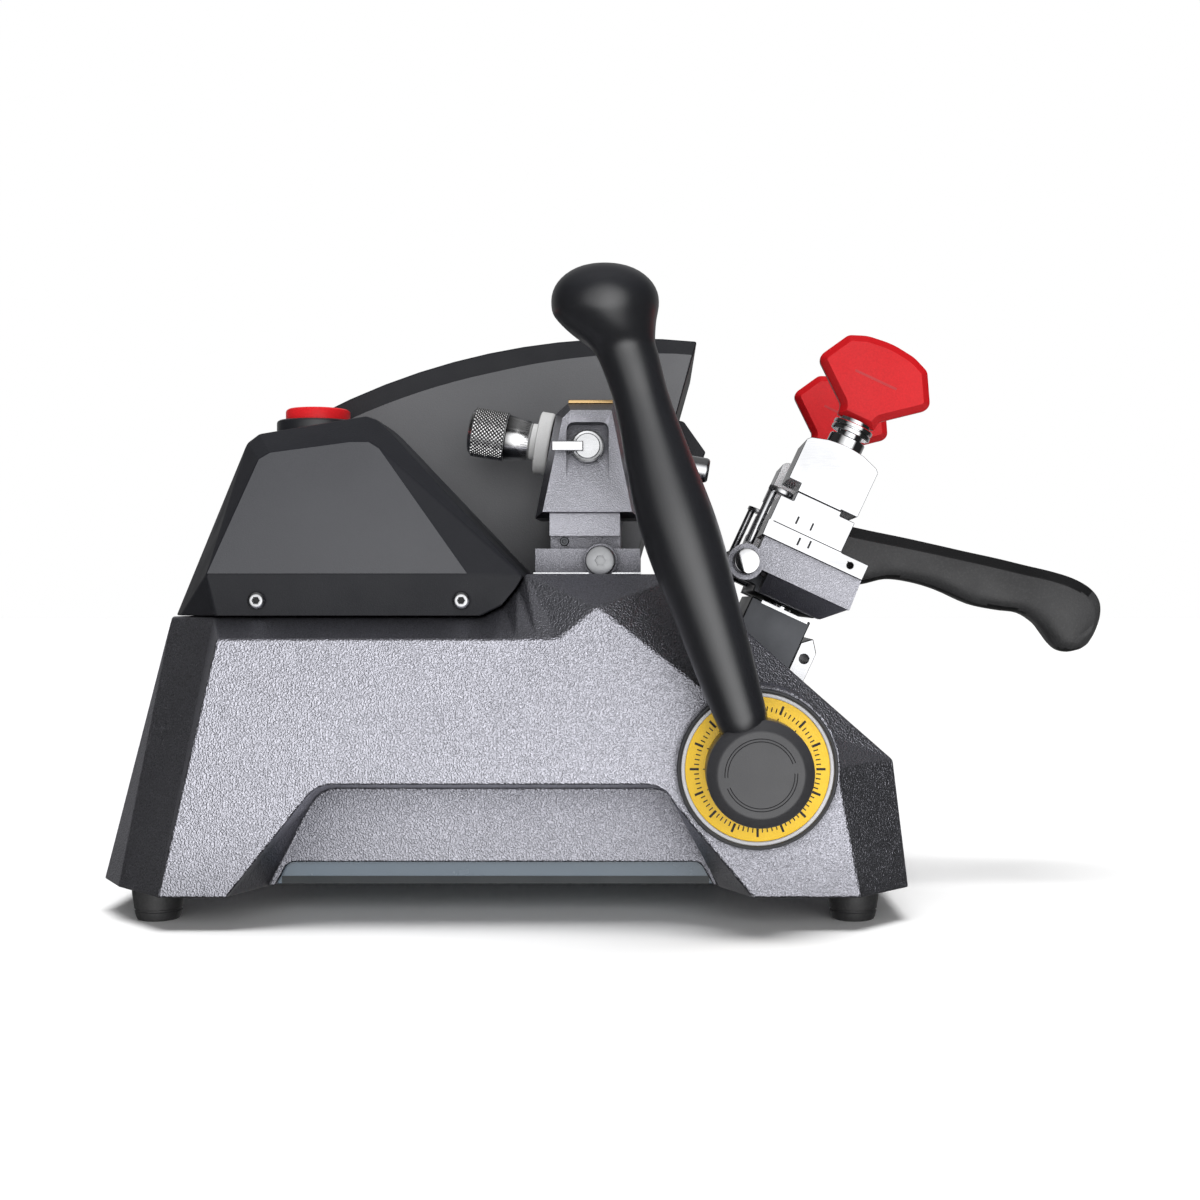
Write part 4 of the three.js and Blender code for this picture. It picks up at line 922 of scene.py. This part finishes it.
def add_world():
    """Pale behind everything; for the object, one broad soft light in front, dim elsewhere."""
    world = bpy.data.worlds.new("studio")
    bpy.context.scene.world = world
    world.use_nodes = True
    tree = world.node_tree

    def node(kind, **values):
        made = tree.nodes.new(kind)
        for key, value in values.items():
            setattr(made, key, value)
        return made

    def fade(value, edges, levels):
        remap = node("ShaderNodeMapRange", interpolation_type="SMOOTHSTEP")
        for key, number in zip(("From Min", "From Max", "To Min", "To Max"), (*edges, *levels)):
            remap.inputs[key].default_value = number
        tree.links.new(value, remap.inputs["Value"])
        return remap.outputs["Result"]

    def combine(operation, a, b):
        math_node = node("ShaderNodeMath", operation=operation)
        tree.links.new(a, math_node.inputs[0])
        tree.links.new(b, math_node.inputs[1])
        return math_node.outputs[0]

    split = node("ShaderNodeSeparateXYZ")
    tree.links.new(node("ShaderNodeTexCoord").outputs["Generated"], split.inputs[0])
    front = combine("MULTIPLY", fade(split.outputs["Y"], (-0.93, -0.55), (FRONT_LEVEL, 0)),
                    fade(split.outputs["Z"], (-0.2, 0.7), (1.2, HIGH_FRONT_SHARE)))
    front = combine("MULTIPLY", front, fade(split.outputs["X"], (-0.5, 0.2), (0.5, 1.1)))
    back = fade(split.outputs["Y"], (0.35, 1.0), (0, BACK_LEVEL))
    dim = fade(split.outputs["Z"], (0.45, 1.0), (SIDE_LEVEL, TOP_LEVEL))
    level = combine("ADD", combine("ADD", front, back), dim)
    lit = node("ShaderNodeBackground")
    tree.links.new(level, lit.inputs["Strength"])
    pale = tree.nodes["Background"]
    pale.inputs["Color"].default_value = (1, 1, 1, 1)
    pale.inputs["Strength"].default_value = 1.0
    mixed = node("ShaderNodeMixShader")
    tree.links.new(node("ShaderNodeLightPath").outputs["Is Camera Ray"], mixed.inputs["Fac"])
    tree.links.new(lit.outputs[0], mixed.inputs[1])
    tree.links.new(pale.outputs[0], mixed.inputs[2])
    tree.links.new(mixed.outputs[0], tree.nodes["World Output"].inputs["Surface"])


def add_soft_sun(name, level, spread, turn):
    """A broad light for matt surfaces, with no highlight of its own."""
    light = bpy.data.lights.new(name, "SUN")
    light.energy = level
    light.angle = math.radians(spread)
    lamp = bpy.data.objects.new(name, light)
    bpy.context.scene.collection.objects.link(lamp)
    lamp.rotation_euler = [math.radians(angle) for angle in turn]
    lamp.visible_glossy = False


add_floor()
add_world()
add_soft_sun("overhead", OVERHEAD_LEVEL, 34, (8, 0, 0))
add_soft_sun("front_fill", FRONT_FILL_LEVEL, 50, (78, 0, 12))

bpy.context.scene.view_settings.view_transform = "Standard"
